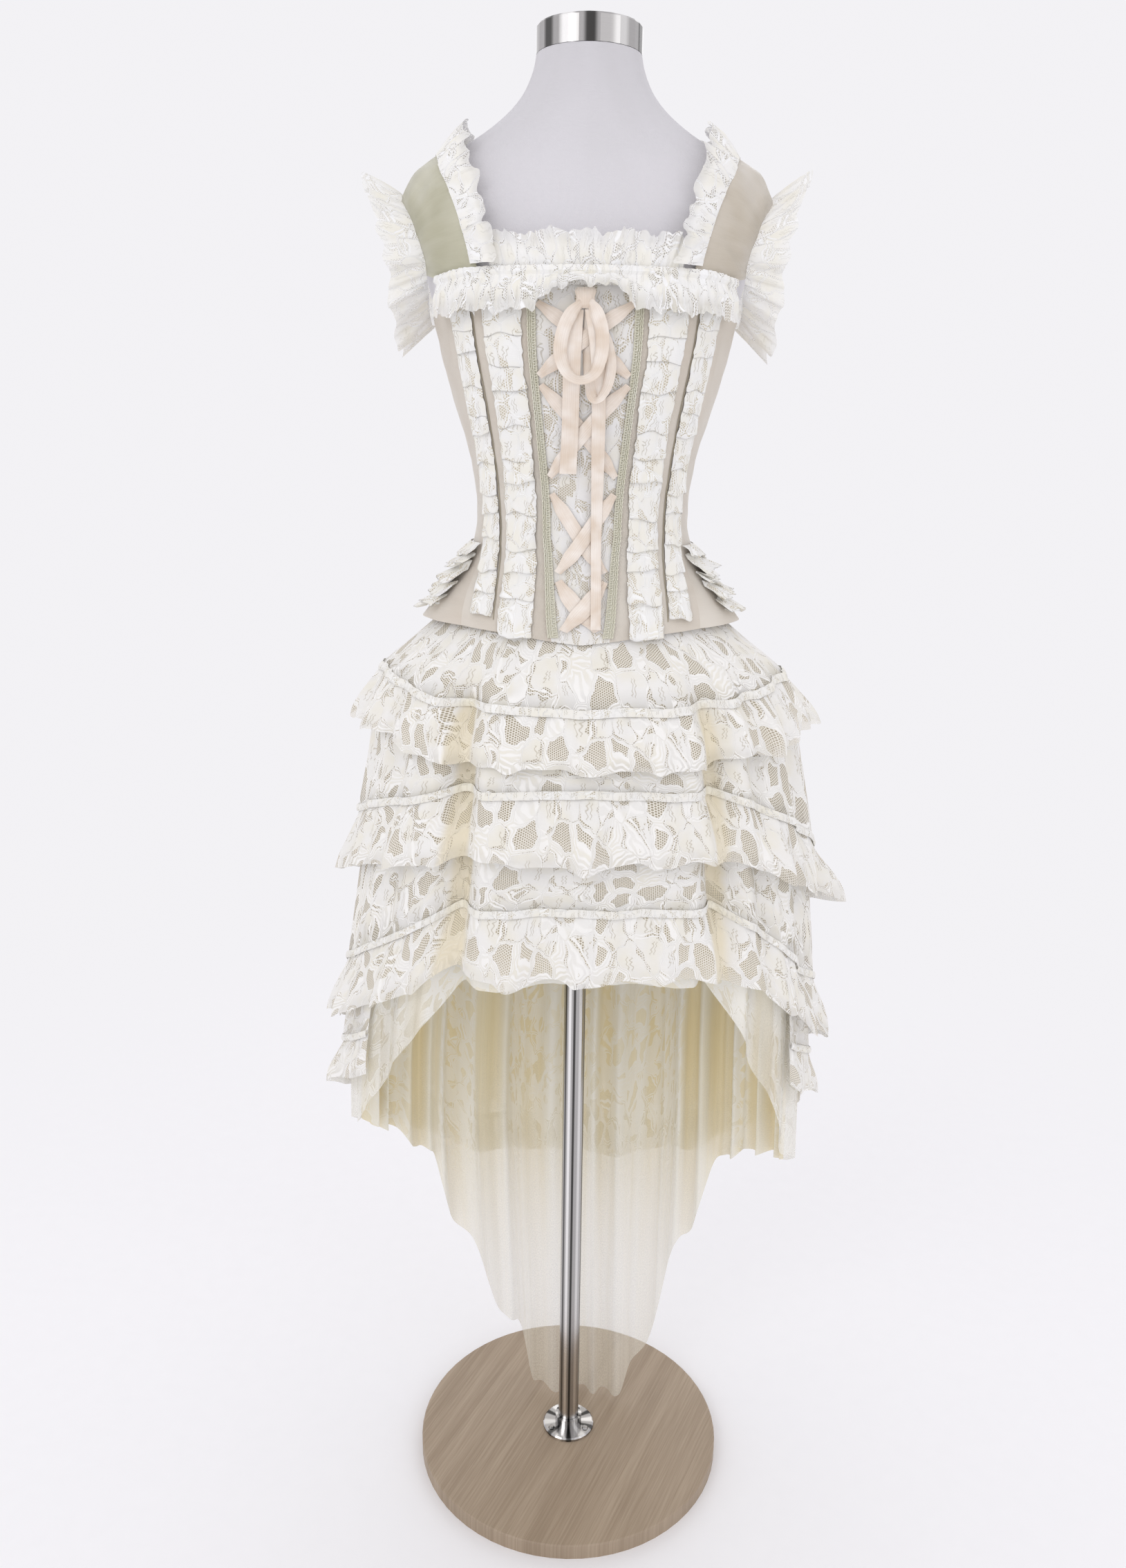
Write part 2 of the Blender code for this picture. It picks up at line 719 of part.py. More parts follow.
def ribbon_rows(start, end, base):
    """Rows across a straight ribbon from one (angle, height) to another, its ends cut upright."""
    rows = []
    radius = bodice_point(0.0, 0.5 * (start[1] + end[1])).xy.length
    run = (end[0] - start[0]) * math.radians(1.0) * radius
    half = 0.5 * RIBBON_WIDTH * math.hypot(run, end[1] - start[1]) / abs(run)
    for step in range(RIBBON_STEPS + 1):
        share = step / RIBBON_STEPS
        angle = start[0] + (end[0] - start[0]) * share
        height = start[1] + (end[1] - start[1]) * share
        rows.append([(angle, height + side * half, base, base + RIBBON_WALL) for side in (-1.0, 1.0)])
    return rows


def make_lacing(ribbon):
    """The ribbon's crossings, the strand to the right always under the strand to the left."""
    under = BODICE_WALL + TRIM_EASE
    over = under + RIBBON_WALL + RIBBON_EASE
    inset = RIBBON_INSET * BRAID_WIDTH
    for number, (top, low) in enumerate(LACING, 1):
        spans = []
        for height in (top, low):
            angle = look_up(SEAMS, height - RIBBON_WIDTH, 1)
            spans.append(angle - degrees_across(angle, height, inset))
        make = (("under", 1.0, under), ("over", -1.0, over))
        for word, side, base in make:
            rows = ribbon_rows((-side * spans[0], top), (side * spans[1], low), base)
            on_panel(f"lacing_{number}_{word}", rows, ribbon)


def make_bow(ribbon):
    """The knot, two hanging loops and two tails in front of the lacing."""
    knot = []
    for height, reach, high in BOW_KNOT:
        places = ((-reach, KNOT_EDGE * high), (0.0, high), (reach, KNOT_EDGE * high))
        knot.append([(angle, height, BOW_STAND_OFF, BOW_STAND_OFF + out) for angle, out in places])
    on_panel("bow_knot", knot, ribbon)
    for side, word in ((-1.0, "left"), (1.0, "right")):
        make_loop(f"bow_loop_{word}", side, ribbon)
    for word, path, width in (("left", LEFT_TAIL, RIBBON_WIDTH), ("right", RIGHT_TAIL, TURNED_RIBBON)):
        rows = []
        for step in range(TAIL_STEPS + 1):
            place = step / TAIL_STEPS * (len(path) - 1)
            angle = float(np.interp(place, range(len(path)), [spot[0] for spot in path]))
            height = float(np.interp(place, range(len(path)), [spot[1] for spot in path]))
            reach = degrees_across(angle, height, 0.5 * width)
            edges = (angle - reach, angle + reach)
            rows.append([(edge, height, BOW_STAND_OFF, BOW_STAND_OFF + RIBBON_WALL) for edge in edges])
        on_panel(f"bow_tail_{word}", rows, ribbon)


def make_loop(name, side, ribbon):
    """A ribbon loop that droops from the knot: out, down and back up beside itself."""
    near = bodice_point(0.0, LOOP_TOP).y - BOW_STAND_OFF - LOOP_STAND_OFF
    inside, outside = [], []
    for step in range(LOOP_STEPS + 1):
        turn = math.pi * (LOOP_GAP + (2.0 - 2.0 * LOOP_GAP) * step / LOOP_STEPS)
        drop = 0.5 - 0.5 * math.cos(turn)
        bulge = LOOP_BULGE * (0.45 + 0.75 * drop)
        x = side * (LOOP_INNER + LOOP_SPREAD * drop + bulge * math.sin(turn))
        z = LOOP_TOP - LOOP_DROP * drop
        level = math.atan2(0.5 * LOOP_DROP * math.sin(turn), bulge * math.cos(turn))
        normal = Vector((side * math.sin(level), 0.0, math.cos(level)))
        y = near - LOOP_LEAN * drop
        row = [Vector((x, y, z)), Vector((x, y - LOOP_WIDTH, z))]
        inside.append(row)
        outside.append([point + normal * RIBBON_WALL for point in row])
    wall_between(name, inside, outside, ribbon)


def fold(angle, height):
    """How far the skirt's large folds draw its wall in, as a stand-off below zero."""
    grown = smoothstep((FOLD_TOP - height) / (FOLD_TOP - FOLD_FULL))
    depth = 0.0
    for centre, deep, wide in FOLDS:
        across = wrap(angle - centre) / (0.5 * wide)
        if abs(across) < 1.0:
            depth += deep * (0.5 + 0.5 * math.cos(math.pi * across))
    return -depth * grown


def skirt_point(angle, height, out=0.0):
    shift = Vector((look_up(SKIRT, height, 4), 0.0, 0.0))
    return ring_point(ring_sizes(SKIRT, height), angle, height, out + fold(angle, height)) + shift


def skirt_columns(start, end, waves):
    """Column angles of the shared skirt folds, spaced a little unevenly."""
    count = waves * COLUMNS_PER_WAVE
    angles = []
    for column in range(count + 1):
        share = column / count
        ease = math.sin(math.pi * share)
        shift = 1.6 * math.sin(5.0 * math.pi * share + 0.6) + 1.1 * math.sin(11.0 * math.pi * share)
        angles.append(start + (end - start) * share + ease * shift)
    return angles


def skirt_wall(name, angles, rows, wall, material):
    """A skirt layer from functions (angle, column) -> (height, stand-off), one for each row."""
    inside, outside = [], []
    trim = math.degrees(0.5 * GAP / 0.22)
    spans = [angles[0] + trim] + list(angles[1:-1]) + [angles[-1] - trim]
    for row in rows:
        line = []
        for column, angle in enumerate(spans):
            height, out = row(angle, column)
            line.append((angle, height, out))
        points = [skirt_point(*spot) for spot in line]
        beyond = []
        for column, spot in enumerate(line):
            along = points[min(column + 1, len(points) - 1)] - points[max(column - 1, 0)]
            outward = (skirt_point(spot[0], spot[1], spot[2] + 0.01) - points[column]).normalized()
            flat = Vector((along.x, along.y, 0.0)).normalized()
            slope = max(math.sqrt(max(1.0 - flat.dot(outward) ** 2, 0.0)), 0.5)
            beyond.append(points[column] + outward * wall / slope)
        inside.append(points)
        outside.append(beyond)
    return wall_between(name, inside, outside, material)


def hem(angle, column):
    return look_up(HEMS, wrap(angle), column)


def wave(column, seed):
    """A ruffle's wave at a shared column, between 0 in a trough and 1 on a crest."""
    number, phase = divmod(column, COLUMNS_PER_WAVE)
    height = 0.5 - 0.5 * math.cos(2.0 * math.pi * phase / COLUMNS_PER_WAVE)
    return height * (0.72 + 0.28 * math.sin(2.4 * number + seed))


def make_tier(tier, seed, angles, name, material):
    """A smooth band that flares down to its seam, and the gathered ruffle below the seam."""
    _, column, top, out_top, out_seam, out_hem, left, right, ruffle = tier

    def top_row(angle, _):
        steep = abs(fold(angle + 1.0, top) - fold(angle - 1.0, top)) / 0.008
        return top, out_top * math.hypot(1.0, min(steep, 2.0))

    def band_row(share):
        def row(angle, _):
            seam_height = hem(angle, column) + ruffle
            return top + (seam_height - top) * share, out_top + (out_seam - out_top) * share**bow
        return row

    bands, bow = (TOP_BANDS, 2.0) if top > FOLD_TOP else ((), 1.0)
    if not bands and angles[0] > 0.0:
        bands = LOW_BANDS
    rows = [top_row] + [band_row(share) for share in bands]
    rows += ruffle_rows(column, ruffle, seed, out_seam, out_hem, left, right)
    skirt_wall(name, angles, rows, TIER_WALL, material)


def ruffle_rows(column, ruffle, seed, out_seam, out_hem, left, right):
    """A ruffle's seam row and hem row; its waves stand out only below the seam."""
    def row_at(share):
        def row(angle, number):
            crest = wave(number, seed) * share
            size = 0.5 * (left + right) + 0.5 * (right - left) * math.sin(math.radians(angle))
            height = hem(angle, column) + ruffle * (1.0 - share) - HEM_DIP * crest
            return height, out_seam + (out_hem - out_seam) * share + crest * size
        return row
    return [row_at(0.0), row_at(1.0)]


def make_skirt(lace, tulle):
    front = skirt_columns(-SIDE_SEAM, SIDE_SEAM, FRONT_WAVES)
    back = skirt_columns(SIDE_SEAM, 360.0 - SIDE_SEAM, BACK_WAVES)
    for number, tier in enumerate(TIERS):
        make_tier(tier, 1.0 + 1.7 * number, front, f"{tier[0]}_front", lace)
        make_tier(tier, 2.5 + 1.3 * number, back, f"{tier[0]}_back", lace)
    around = [angle for angle in front if angle > BACK_PANEL_EDGE] + back[1:]
    around += [angle + 360.0 for angle in front[1:] if angle < -BACK_PANEL_EDGE]
    make_back_panel(around, lace)
    make_lining(front, back, tulle)


def make_back_panel(angles, lace):
    """The long lace panel that shows under the third tier at the sides and the back."""
    _, column, top, out_top, out_seam, out_hem, left, right, ruffle = BACK_PANEL
    rows = [lambda angle, number: (top, out_top)]
    rows += ruffle_rows(column, ruffle, BACK_PANEL_SEED, out_seam, out_hem, left, right)
    skirt_wall("back_panel", angles, rows, TIER_WALL, lace)


def make_lining(front, back, tulle):
    """The tulle lining: short in front, a train behind, with narrow folds low down."""
    def fixed_row(height):
        return lambda angle, number: (height, 0.0)

    def low_row(share, folds):
        def row(angle, number):
            top = LINING_ROWS[-1]
            height = top + (hem(angle, 5) - top) * share
            grown = smoothstep((LINING_WAVE_TOP - height) / 0.2)
            out = -LINING_WAVE * grown if folds and number % 2 else 0.0
            return height, out
        return row

    fixed = [fixed_row(height) for height in LINING_ROWS]
    front_rows = fixed + [low_row(share, False) for share in (0.5, 1.0)]
    sparse = [
        angle for number, angle in enumerate(front)
        if number % 2 == 0 or number in (1, len(front) - 2) or fold(angle, FOLD_FULL) < -0.0015
    ]
    skirt_wall("lining_front", sparse, front_rows, LINING_WALL, tulle)
    back_rows = fixed + [low_row(share, True) for share in (0.25, 0.5, 0.75, 1.0)]
    skirt_wall("lining_train", back, back_rows, LINING_WALL, tulle)


def shoulder_point(tree, side, around, tilt, out):
    """A point over the form's shoulder, found from inside it, moved out along the form's normal."""
    centre = Vector((side * STRAP_CENTRE[0], STRAP_CENTRE[1], STRAP_CENTRE[2]))
    turn, lean = math.radians(around), math.radians(tilt)
    heading = Vector(
        (side * math.sin(lean), -math.cos(lean) * math.cos(turn), math.cos(lean) * math.sin(turn))
    )
    place, normal, *_ = tree.ray_cast(centre, heading)
    blended = (normal + heading).normalized()
    return place + blended * out


def make_straps(tree, taffeta, lace):
    for side, word in ((-1.0, "left"), (1.0, "right")):
        inside, outside = [], []
        for step in range(STRAP_ROWS + 1):
            around = STRAP[0][0] + (STRAP[-1][0] - STRAP[0][0]) * step / STRAP_ROWS
            inner, outer = look_up(STRAP, around, 1), look_up(STRAP, around, 2)
            shares = [column / STRAP_COLUMNS for column in range(STRAP_COLUMNS + 1)]
            tilts = [inner + (outer - inner) * share for share in shares]
            inside.append([shoulder_point(tree, side, around, tilt, STRAP_STAND_OFF) for tilt in tilts])
            beyond = STRAP_STAND_OFF + STRAP_WALL
            outside.append([shoulder_point(tree, side, around, tilt, beyond) for tilt in tilts])
        wall_between(f"strap_{word}", inside, outside, taffeta)
        make_neck_ruffle(tree, side, word, lace)
        make_armhole_ruffle(tree, side, word, lace)


def make_neck_ruffle(tree, side, word, lace):
    """Gathered lace along the strap's inner edge, lying towards the neck."""
    base = STRAP_STAND_OFF + STRAP_WALL + RUFFLE_EASE
    count = NECK_RUFFLE_WAVES * COLUMNS_PER_WAVE
    first, last = NECK_RUFFLE_SPAN
    inside, outside = [], []
    for reach, lift in NECK_RUFFLE:
        row_in, row_out = [], []
        for column in range(count + 1):
            around = first + (last - first) * column / count
            tilt = look_up(STRAP, around, 1) + reach
            swing = NECK_RUFFLE_WAVE * wave(column, NECK_RUFFLE_SEED) if lift else 0.0
            out = base + lift + swing
            row_in.append(shoulder_point(tree, side, around, tilt, out))
            row_out.append(shoulder_point(tree, side, around, tilt, out + RUFFLE_WALL * SLOPE_WALL))
        inside.append(row_in)
        outside.append(row_out)
    wall_between(f"neck_ruffle_{word}", inside, outside, lace)


def make_armhole_ruffle(tree, side, word, lace):
    """Gathered lace round the armhole, standing out sideways like a short sleeve."""
    count = ARMHOLE_WAVES * COLUMNS_PER_WAVE
    inside, outside = [], []
    for reach in ARMHOLE_ROWS:
        row_in, row_out = [], []
        for column in range(count):
            around = ARMHOLE[0][0] + 360.0 * column / count
            tilt = look_up(ARMHOLE, around, 1)
            root = shoulder_point(tree, side, around, tilt, ARMHOLE_STAND_OFF)
            turn = math.radians(around)
            away = Vector((0.0, -math.cos(turn), math.sin(turn)))
            up = 0.5 + 0.5 * math.sin(turn)
            fall = (ARMHOLE_FALL + ARMHOLE_RISE[word]) * up - ARMHOLE_FALL
            lean = Vector((side, 0.0, fall)).normalized()
            swing = reach * (ARMHOLE_SPREAD + ARMHOLE_WAVE * wave(column, ARMHOLE_SEED + side))
            point = root + lean * ARMHOLE_REACH * reach + away * swing
            row_in.append(point)
            row_out.append(point + (away + Vector((0.0, 0.0, 0.2 * up))).normalized() * RUFFLE_WALL)
        inside.append(row_in)
        outside.append(row_out)
    wall_between(f"armhole_ruffle_{word}", inside, outside, lace, ring=True)


def make_top_ruffles(lace):
    """Gathered lace along the front's top edge: one falls over the panels, one stands up."""
    for name, reach, waves, spans in (
        ("top_ruffle", 62.0, 11, TOP_RUFFLE),
        ("neck_ruffle_front", 30.0, 5, NECK_EDGE_RUFFLE),
    ):
        count = waves * COLUMNS_PER_WAVE
        rows = []
        for height, out, share in spans:
            row = []
            for column in range(count + 1):
                angle = -reach + 2.0 * reach * column / count
                swing = TOP_RUFFLE_WAVE * share * wave(column, TOP_RUFFLE_SEED)
                drawn = 1.0 - smoothstep((abs(angle) - DRAWN_SPAN) / DRAWN_EASE)
                lifted = height + (DRAWN_UP * share * drawn if height < TOP_EDGE else 0.0)
                lifted += look_up(BODICE_EDGES, abs(angle), 1) - TOP_EDGE
                row.append((angle, lifted, out + swing, out + swing + RUFFLE_WALL))
            rows.append(row)
        on_panel(name, rows, lace)


def main():
    for old in list(bpy.data.objects):
        bpy.data.objects.remove(old, do_unlink=True)
    wood = make_material("foot_wood", (0.42, 0.34, 0.26), 0.45)
    steel = make_material("brushed_steel", (0.62, 0.62, 0.63), 0.28, 1.0)
    black = make_material("black_plastic", (0.03, 0.03, 0.03), 0.4)
    jersey = make_material("form_jersey", (0.72, 0.70, 0.74), 0.8)
    satin = make_material("bodice_satin", (0.78, 0.70, 0.60), 0.45)
    taffeta = make_material("strap_taffeta", (0.66, 0.60, 0.47), 0.4)
    lace = make_material("white_lace", (0.88, 0.87, 0.85), 0.75)
    tulle = make_material("cream_tulle", (0.84, 0.77, 0.55), 0.7)
    ribbon = make_material("satin_ribbon", (0.85, 0.74, 0.64), 0.3)
    cotton = make_material("loop_braid", (0.82, 0.77, 0.58), 0.7)
    make_stand(wood, steel, black)
    torso = make_form(jersey, steel)
    work = bmesh.new()
    work.from_mesh(torso.data)
    bmesh.ops.triangulate(work, faces=work.faces)
    tree = BVHTree.FromBMesh(work)
    work.free()
    make_bodice(satin, lace)
    make_front_trim(lace, cotton)
    make_lacing(ribbon)
    make_bow(ribbon)
    make_straps(tree, taffeta, lace)
    make_top_ruffles(lace)
    make_skirt(lace, tulle)


main()
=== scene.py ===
"""Lace corset dress on its dress form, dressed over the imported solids.

Metres, +Z up, the front of the dress looks along -Y. Angles run round the body in degrees: 0 is
the centre front, +90 the side at +X. The cloth follows the same tables as the solids it stands
for, with finer folds. All patterns are procedural and drawn in the cloth's own flat metres.
"""
import math

import bpy
import numpy as np
from mathutils import Matrix, Vector
from mathutils.bvhtree import BVHTree


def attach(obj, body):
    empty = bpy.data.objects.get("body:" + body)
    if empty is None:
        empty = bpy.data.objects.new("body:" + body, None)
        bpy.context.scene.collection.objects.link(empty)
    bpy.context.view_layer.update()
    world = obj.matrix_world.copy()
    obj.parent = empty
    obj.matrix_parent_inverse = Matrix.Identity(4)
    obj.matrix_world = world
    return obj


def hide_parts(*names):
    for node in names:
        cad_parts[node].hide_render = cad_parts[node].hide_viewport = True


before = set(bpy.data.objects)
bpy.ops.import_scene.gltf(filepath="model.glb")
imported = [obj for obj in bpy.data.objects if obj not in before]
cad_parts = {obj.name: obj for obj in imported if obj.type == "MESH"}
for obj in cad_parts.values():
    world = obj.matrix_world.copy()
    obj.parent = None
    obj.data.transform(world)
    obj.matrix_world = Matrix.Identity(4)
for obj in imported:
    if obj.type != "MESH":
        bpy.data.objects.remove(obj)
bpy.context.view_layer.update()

# Form: height, half width, depth in front, depth behind
FORM = (
    (1.5830, 0.0495, 0.0495, 0.0495),
    (1.5600, 0.0560, 0.0545, 0.0520),
    (1.5400, 0.0680, 0.0580, 0.0550),
    (1.5250, 0.0850, 0.0620, 0.0580),
    (1.5080, 0.1090, 0.0680, 0.0640),
    (1.4920, 0.1400, 0.0740, 0.0700),
    (1.4750, 0.1660, 0.0800, 0.0760),
    (1.4500, 0.1790, 0.0880, 0.0830),
    (1.4200, 0.1740, 0.0960, 0.0880),
    (1.3950, 0.1620, 0.1030, 0.0920),
    (1.3740, 0.1550, 0.1080, 0.0928),
    (1.3400, 0.1463, 0.1153, 0.0928),
    (1.3020, 0.1378, 0.1178, 0.0908),
    (1.2620, 0.1263, 0.1108, 0.0868),
    (1.2220, 0.1133, 0.0968, 0.0808),
    (1.1800, 0.1058, 0.0878, 0.0778),
    (1.1400, 0.1058, 0.0868, 0.0798),
    (1.1100, 0.1120, 0.0880, 0.0860),
    (1.0800, 0.1210, 0.0890, 0.0910),
    (1.0500, 0.1320, 0.0920, 0.0980),
    (1.0000, 0.1480, 0.0980, 0.1080),
    (0.9400, 0.1580, 0.1000, 0.1120),
    (0.8800, 0.1600, 0.0980, 0.1060),
    (0.8200, 0.1560, 0.0920, 0.0980),
    (0.7800, 0.1500, 0.0860, 0.0920),
)
BUST_HEIGHT, BUST_ANGLE, BUST_DEPTH, BUST_SPREAD, BUST_RISE = 1.318, 34.0, 0.009, 17.0, 0.042
BODICE_EASE = 0.0016
BODICE_WALL = 0.002
BODICE_FLARE = (
    (1.1400, 0.1070, 0.0880, 0.0810),
    (1.1100, 0.1190, 0.0910, 0.0910),
    (1.0800, 0.1420, 0.0950, 0.1050),
    (1.0500, 0.1680, 0.1000, 0.1180),
    (1.0300, 0.1800, 0.1040, 0.1240),
)
# height, angle of the braid seam, of the front seam, of the side-front seam
SEAMS = (
    (1.400, 19.5, 43.0, 62.0),
    (1.340, 19.5, 42.0, 63.0),
    (1.222, 20.5, 40.0, 66.0),
    (1.140, 19.0, 38.0, 66.0),
    (1.080, 13.0, 30.0, 54.0),
    (1.030, 8.6, 20.0, 40.0),
)
SIDE_SEAM, BACK_SEAM, CENTRE_BACK = 95.0, 136.0, 180.0
# angle, height of the bodice's top edge, of its lower edge
BODICE_EDGES = (
    (0.0, 1.374, 1.0360),
    (20.0, 1.374, 1.0390),
    (45.0, 1.374, 1.0460),
    (66.0, 1.368, 1.0500),
    (82.0, 1.346, 1.0520),
    (118.0, 1.346, 1.0500),
    (134.0, 1.370, 1.0440),
    (180.0, 1.374, 1.0360),
)
# Skirt: height, half width, depth in front, depth behind, shift towards +X
SKIRT = (
    (1.0700, 0.1290, 0.0906, 0.0960, 0.000),
    (1.0500, 0.1500, 0.0953, 0.1060, 0.000),
    (1.0350, 0.1660, 0.0985, 0.1150, 0.000),
    (1.0000, 0.2050, 0.1180, 0.1300, 0.002),
    (0.9500, 0.2260, 0.1350, 0.1420, 0.005),
    (0.9000, 0.2300, 0.1430, 0.1470, 0.007),
    (0.8500, 0.2360, 0.1490, 0.1480, 0.008),
    (0.7800, 0.2430, 0.1550, 0.1480, 0.008),
    (0.7000, 0.2500, 0.1590, 0.1470, 0.006),
    (0.6000, 0.2580, 0.1600, 0.1440, 0.003),
    (0.5000, 0.2630, 0.1590, 0.1380, 0.000),
    (0.4000, 0.2650, 0.1560, 0.1300, 0.000),
    (0.3000, 0.2600, 0.1500, 0.1200, 0.002),
    (0.2000, 0.2500, 0.1450, 0.1060, 0.004),
    (0.1000, 0.2400, 0.1400, 0.0870, 0.006),
    (0.0200, 0.2350, 0.1350, 0.0660, 0.008),
)
# angle of a fold's valley, its depth, its width in degrees
FOLDS = (
    (-33.0, 0.0300, 17.0),
    (35.0, 0.0280, 16.0),
    (49.0, 0.0120, 11.0),
    (-56.0, 0.0090, 15.0),
    (-10.0, 0.0050, 18.0),
    (14.0, 0.0045, 16.0),
    (70.0, 0.0100, 17.0),
    (-78.0, 0.0110, 18.0),
    (94.0, 0.0090, 18.0),
    (-101.0, 0.0100, 18.0),
    (119.0, 0.0120, 20.0),
    (-126.0, 0.0110, 20.0),
    (143.0, 0.0100, 18.0),
    (-152.0, 0.0120, 20.0),
    (168.0, 0.0110, 18.0),
)
FOLD_TOP, FOLD_FULL = 1.040, 0.950
# angle, hem height of each tier, of the back panel and of the lining
HEMS = (
    (-180.0, 0.920, 0.700, 0.460, 0.330, 0.024),
    (-166.0, 0.920, 0.700, 0.460, 0.330, 0.026),
    (-160.0, 0.920, 0.700, 0.462, 0.332, 0.110),
    (-152.0, 0.921, 0.702, 0.468, 0.340, 0.175),
    (-143.0, 0.923, 0.706, 0.478, 0.355, 0.260),
    (-135.0, 0.926, 0.712, 0.492, 0.375, 0.360),
    (-120.0, 0.932, 0.730, 0.525, 0.425, 0.400),
    (-90.0, 0.945, 0.770, 0.590, 0.505, 0.452),
    (-70.0, 0.942, 0.790, 0.620, 0.535, 0.475),
    (-45.0, 0.926, 0.812, 0.670, 0.580, 0.600),
    (-33.0, 0.922, 0.824, 0.700, 0.620, 0.680),
    (0.0, 0.920, 0.831, 0.711, 0.640, 0.698),
    (33.0, 0.922, 0.826, 0.705, 0.620, 0.690),
    (45.0, 0.926, 0.812, 0.680, 0.580, 0.610),
    (70.0, 0.940, 0.770, 0.605, 0.530, 0.440),
    (90.0, 0.943, 0.735, 0.575, 0.500, 0.405),
    (120.0, 0.932, 0.715, 0.520, 0.420, 0.385),
    (135.0, 0.926, 0.708, 0.490, 0.375, 0.350),
    (143.0, 0.923, 0.704, 0.478, 0.355, 0.270),
    (152.0, 0.921, 0.702, 0.468, 0.340, 0.150),
    (163.0, 0.920, 0.700, 0.460, 0.330, 0.026),
    (180.0, 0.920, 0.700, 0.460, 0.330, 0.024),
)
# name, hem column, top, stand-off at the top, seam and hem, wave left and right, ruffle height
TIERS = (
    ("tier_1", 1, 1.062, 0.0016, 0.0085, 0.0140, 0.011, 0.018, 0.054),
    ("tier_2", 2, 0.948, 0.0016, 0.0100, 0.0170, 0.014, 0.027, 0.066),
    ("tier_3", 3, 0.860, 0.0016, 0.0100, 0.0160, 0.022, 0.019, 0.068),
)
FRONT_WAVES, BACK_WAVES, COLUMNS_PER_WAVE = 11, 9, 4
BACK_PANEL_EDGE, BACK_PANEL_TOP = 60.0, 0.700
LINING_WAVE, LINING_WAVE_TOP = 0.006, 0.66
TOP_EDGE = 1.374
# height of each crossing's upper ends, of its lower ends
LACING = ((1.352, 1.288), (1.280, 1.197), (1.181, 1.106), (1.098, 1.050))
# angle over the shoulder from the front, tilt of the inner and of the outer edge
STRAP = (
    (-13.0, 8.0, 61.0),
    (20.0, 17.0, 60.0),
    (55.0, 25.0, 59.0),
    (90.0, 28.0, 58.0),
    (125.0, 24.0, 56.0),
    (160.0, 10.0, 50.0),
    (194.0, -2.0, 46.0),
)
ARMHOLE = (
    (-90.0, 51.0), (-50.0, 55.0), (-16.0, 58.0), (20.0, 57.0), (55.0, 56.0), (90.0, 55.0),
    (125.0, 53.0), (160.0, 47.0), (194.0, 44.0), (230.0, 47.0), (270.0, 51.0),
)
STRAP_CENTRE = (0.085, 0.0, 1.395)
STRAP_STAND_OFF, STRAP_WALL = 0.0043, 0.0014


def look(rows, key, column):
    """Read a table's column at a key by straight lines between its rows."""
    rows = np.array(sorted(rows), float)
    return np.interp(key, rows[:, 0], rows[:, column])


def soft_look(rows, key, column, reach=0.012):
    """The same, rounded off over a short reach on both sides."""
    key = np.asarray(key, float)
    return sum(look(rows, key + step * reach, column) for step in (-1.0, -0.5, 0.0, 0.5, 1.0)) / 5.0


def smoothstep(value):
    value = np.clip(value, 0.0, 1.0)
    return value * value * (3.0 - 2.0 * value)


def ripple(place, seed):
    """An uneven wave along a line, between about -1 and 1."""
    first = np.sin(place + seed + 0.9 * np.sin(0.37 * place + 2.1 * seed))
    second = np.sin(1.83 * place + 1.7 * seed + 0.7 * np.sin(0.53 * place + seed))
    return 0.62 * first + 0.38 * second


def wrap(angle):
    return (np.asarray(angle, float) + 180.0) % 360.0 - 180.0


def ring(width, front, back, angle, height, out):
    """Points on rings of two half ellipses, moved out along the ring's own normal."""
    turn = np.radians(angle)
    depth = np.where(np.cos(turn) > 0, front, back)
    nx, ny = depth * np.sin(turn), -width * np.cos(turn)
    size = np.hypot(nx, ny)
    x = width * np.sin(turn) + nx / size * out
    y = -depth * np.cos(turn) + ny / size * out
    return np.stack(np.broadcast_arrays(x, y, height + 0.0 * turn), axis=-1)


def body(rows, angle, height, out, shift=False):
    sizes = [soft_look(rows, height, column) for column in (1, 2, 3)]
    points = ring(*sizes, angle, height, out)
    if shift:
        points[..., 0] += soft_look(rows, height, 4)
    return points


def bust(angle, height):
    across = (np.abs(wrap(angle)) - BUST_ANGLE) / BUST_SPREAD
    along = (height - BUST_HEIGHT) / BUST_RISE
    return BUST_DEPTH * np.exp(-across**2 - along**2)


def form_points(angle, height, out=0.0):
    return body(FORM, angle, height, out + bust(angle, height))


BODICE = tuple(row[:1] + tuple(size + BODICE_EASE for size in row[1:]) for row in FORM if row[0] > 1.141)
BODICE += BODICE_FLARE


def bodice_points(angle, height, out=0.0):
    return body(BODICE, angle, height, out + bust(angle, height))


def fold(angle, height):
    grown = smoothstep((FOLD_TOP - height) / (FOLD_TOP - FOLD_FULL))
    depth = 0.0
    for centre, deep, wide in FOLDS:
        across = np.clip(np.abs(wrap(angle - centre)) / (0.5 * wide), 0.0, 1.0)
        depth = depth + deep * (0.5 + 0.5 * np.cos(math.pi * across))
    return -depth * grown


def skirt_points(angle, height, out=0.0):
    return body(SKIRT, angle, height, out + fold(angle, height), shift=True)


def skirt_columns(start, end, waves):
    share = np.arange(waves * COLUMNS_PER_WAVE + 1) / (waves * COLUMNS_PER_WAVE)
    shift = 1.6 * np.sin(5.0 * math.pi * share + 0.6) + 1.1 * np.sin(11.0 * math.pi * share)
    return start + (end - start) * share + np.sin(math.pi * share) * shift


def wave(column, seed):
    number = np.floor(column / COLUMNS_PER_WAVE)
    phase = column / COLUMNS_PER_WAVE - number
    return (0.5 - 0.5 * np.cos(2.0 * math.pi * phase)) * (0.72 + 0.28 * np.sin(2.4 * number + seed))


def hem(angle, column):
    return soft_look(HEMS, wrap(angle), column, 1.5)


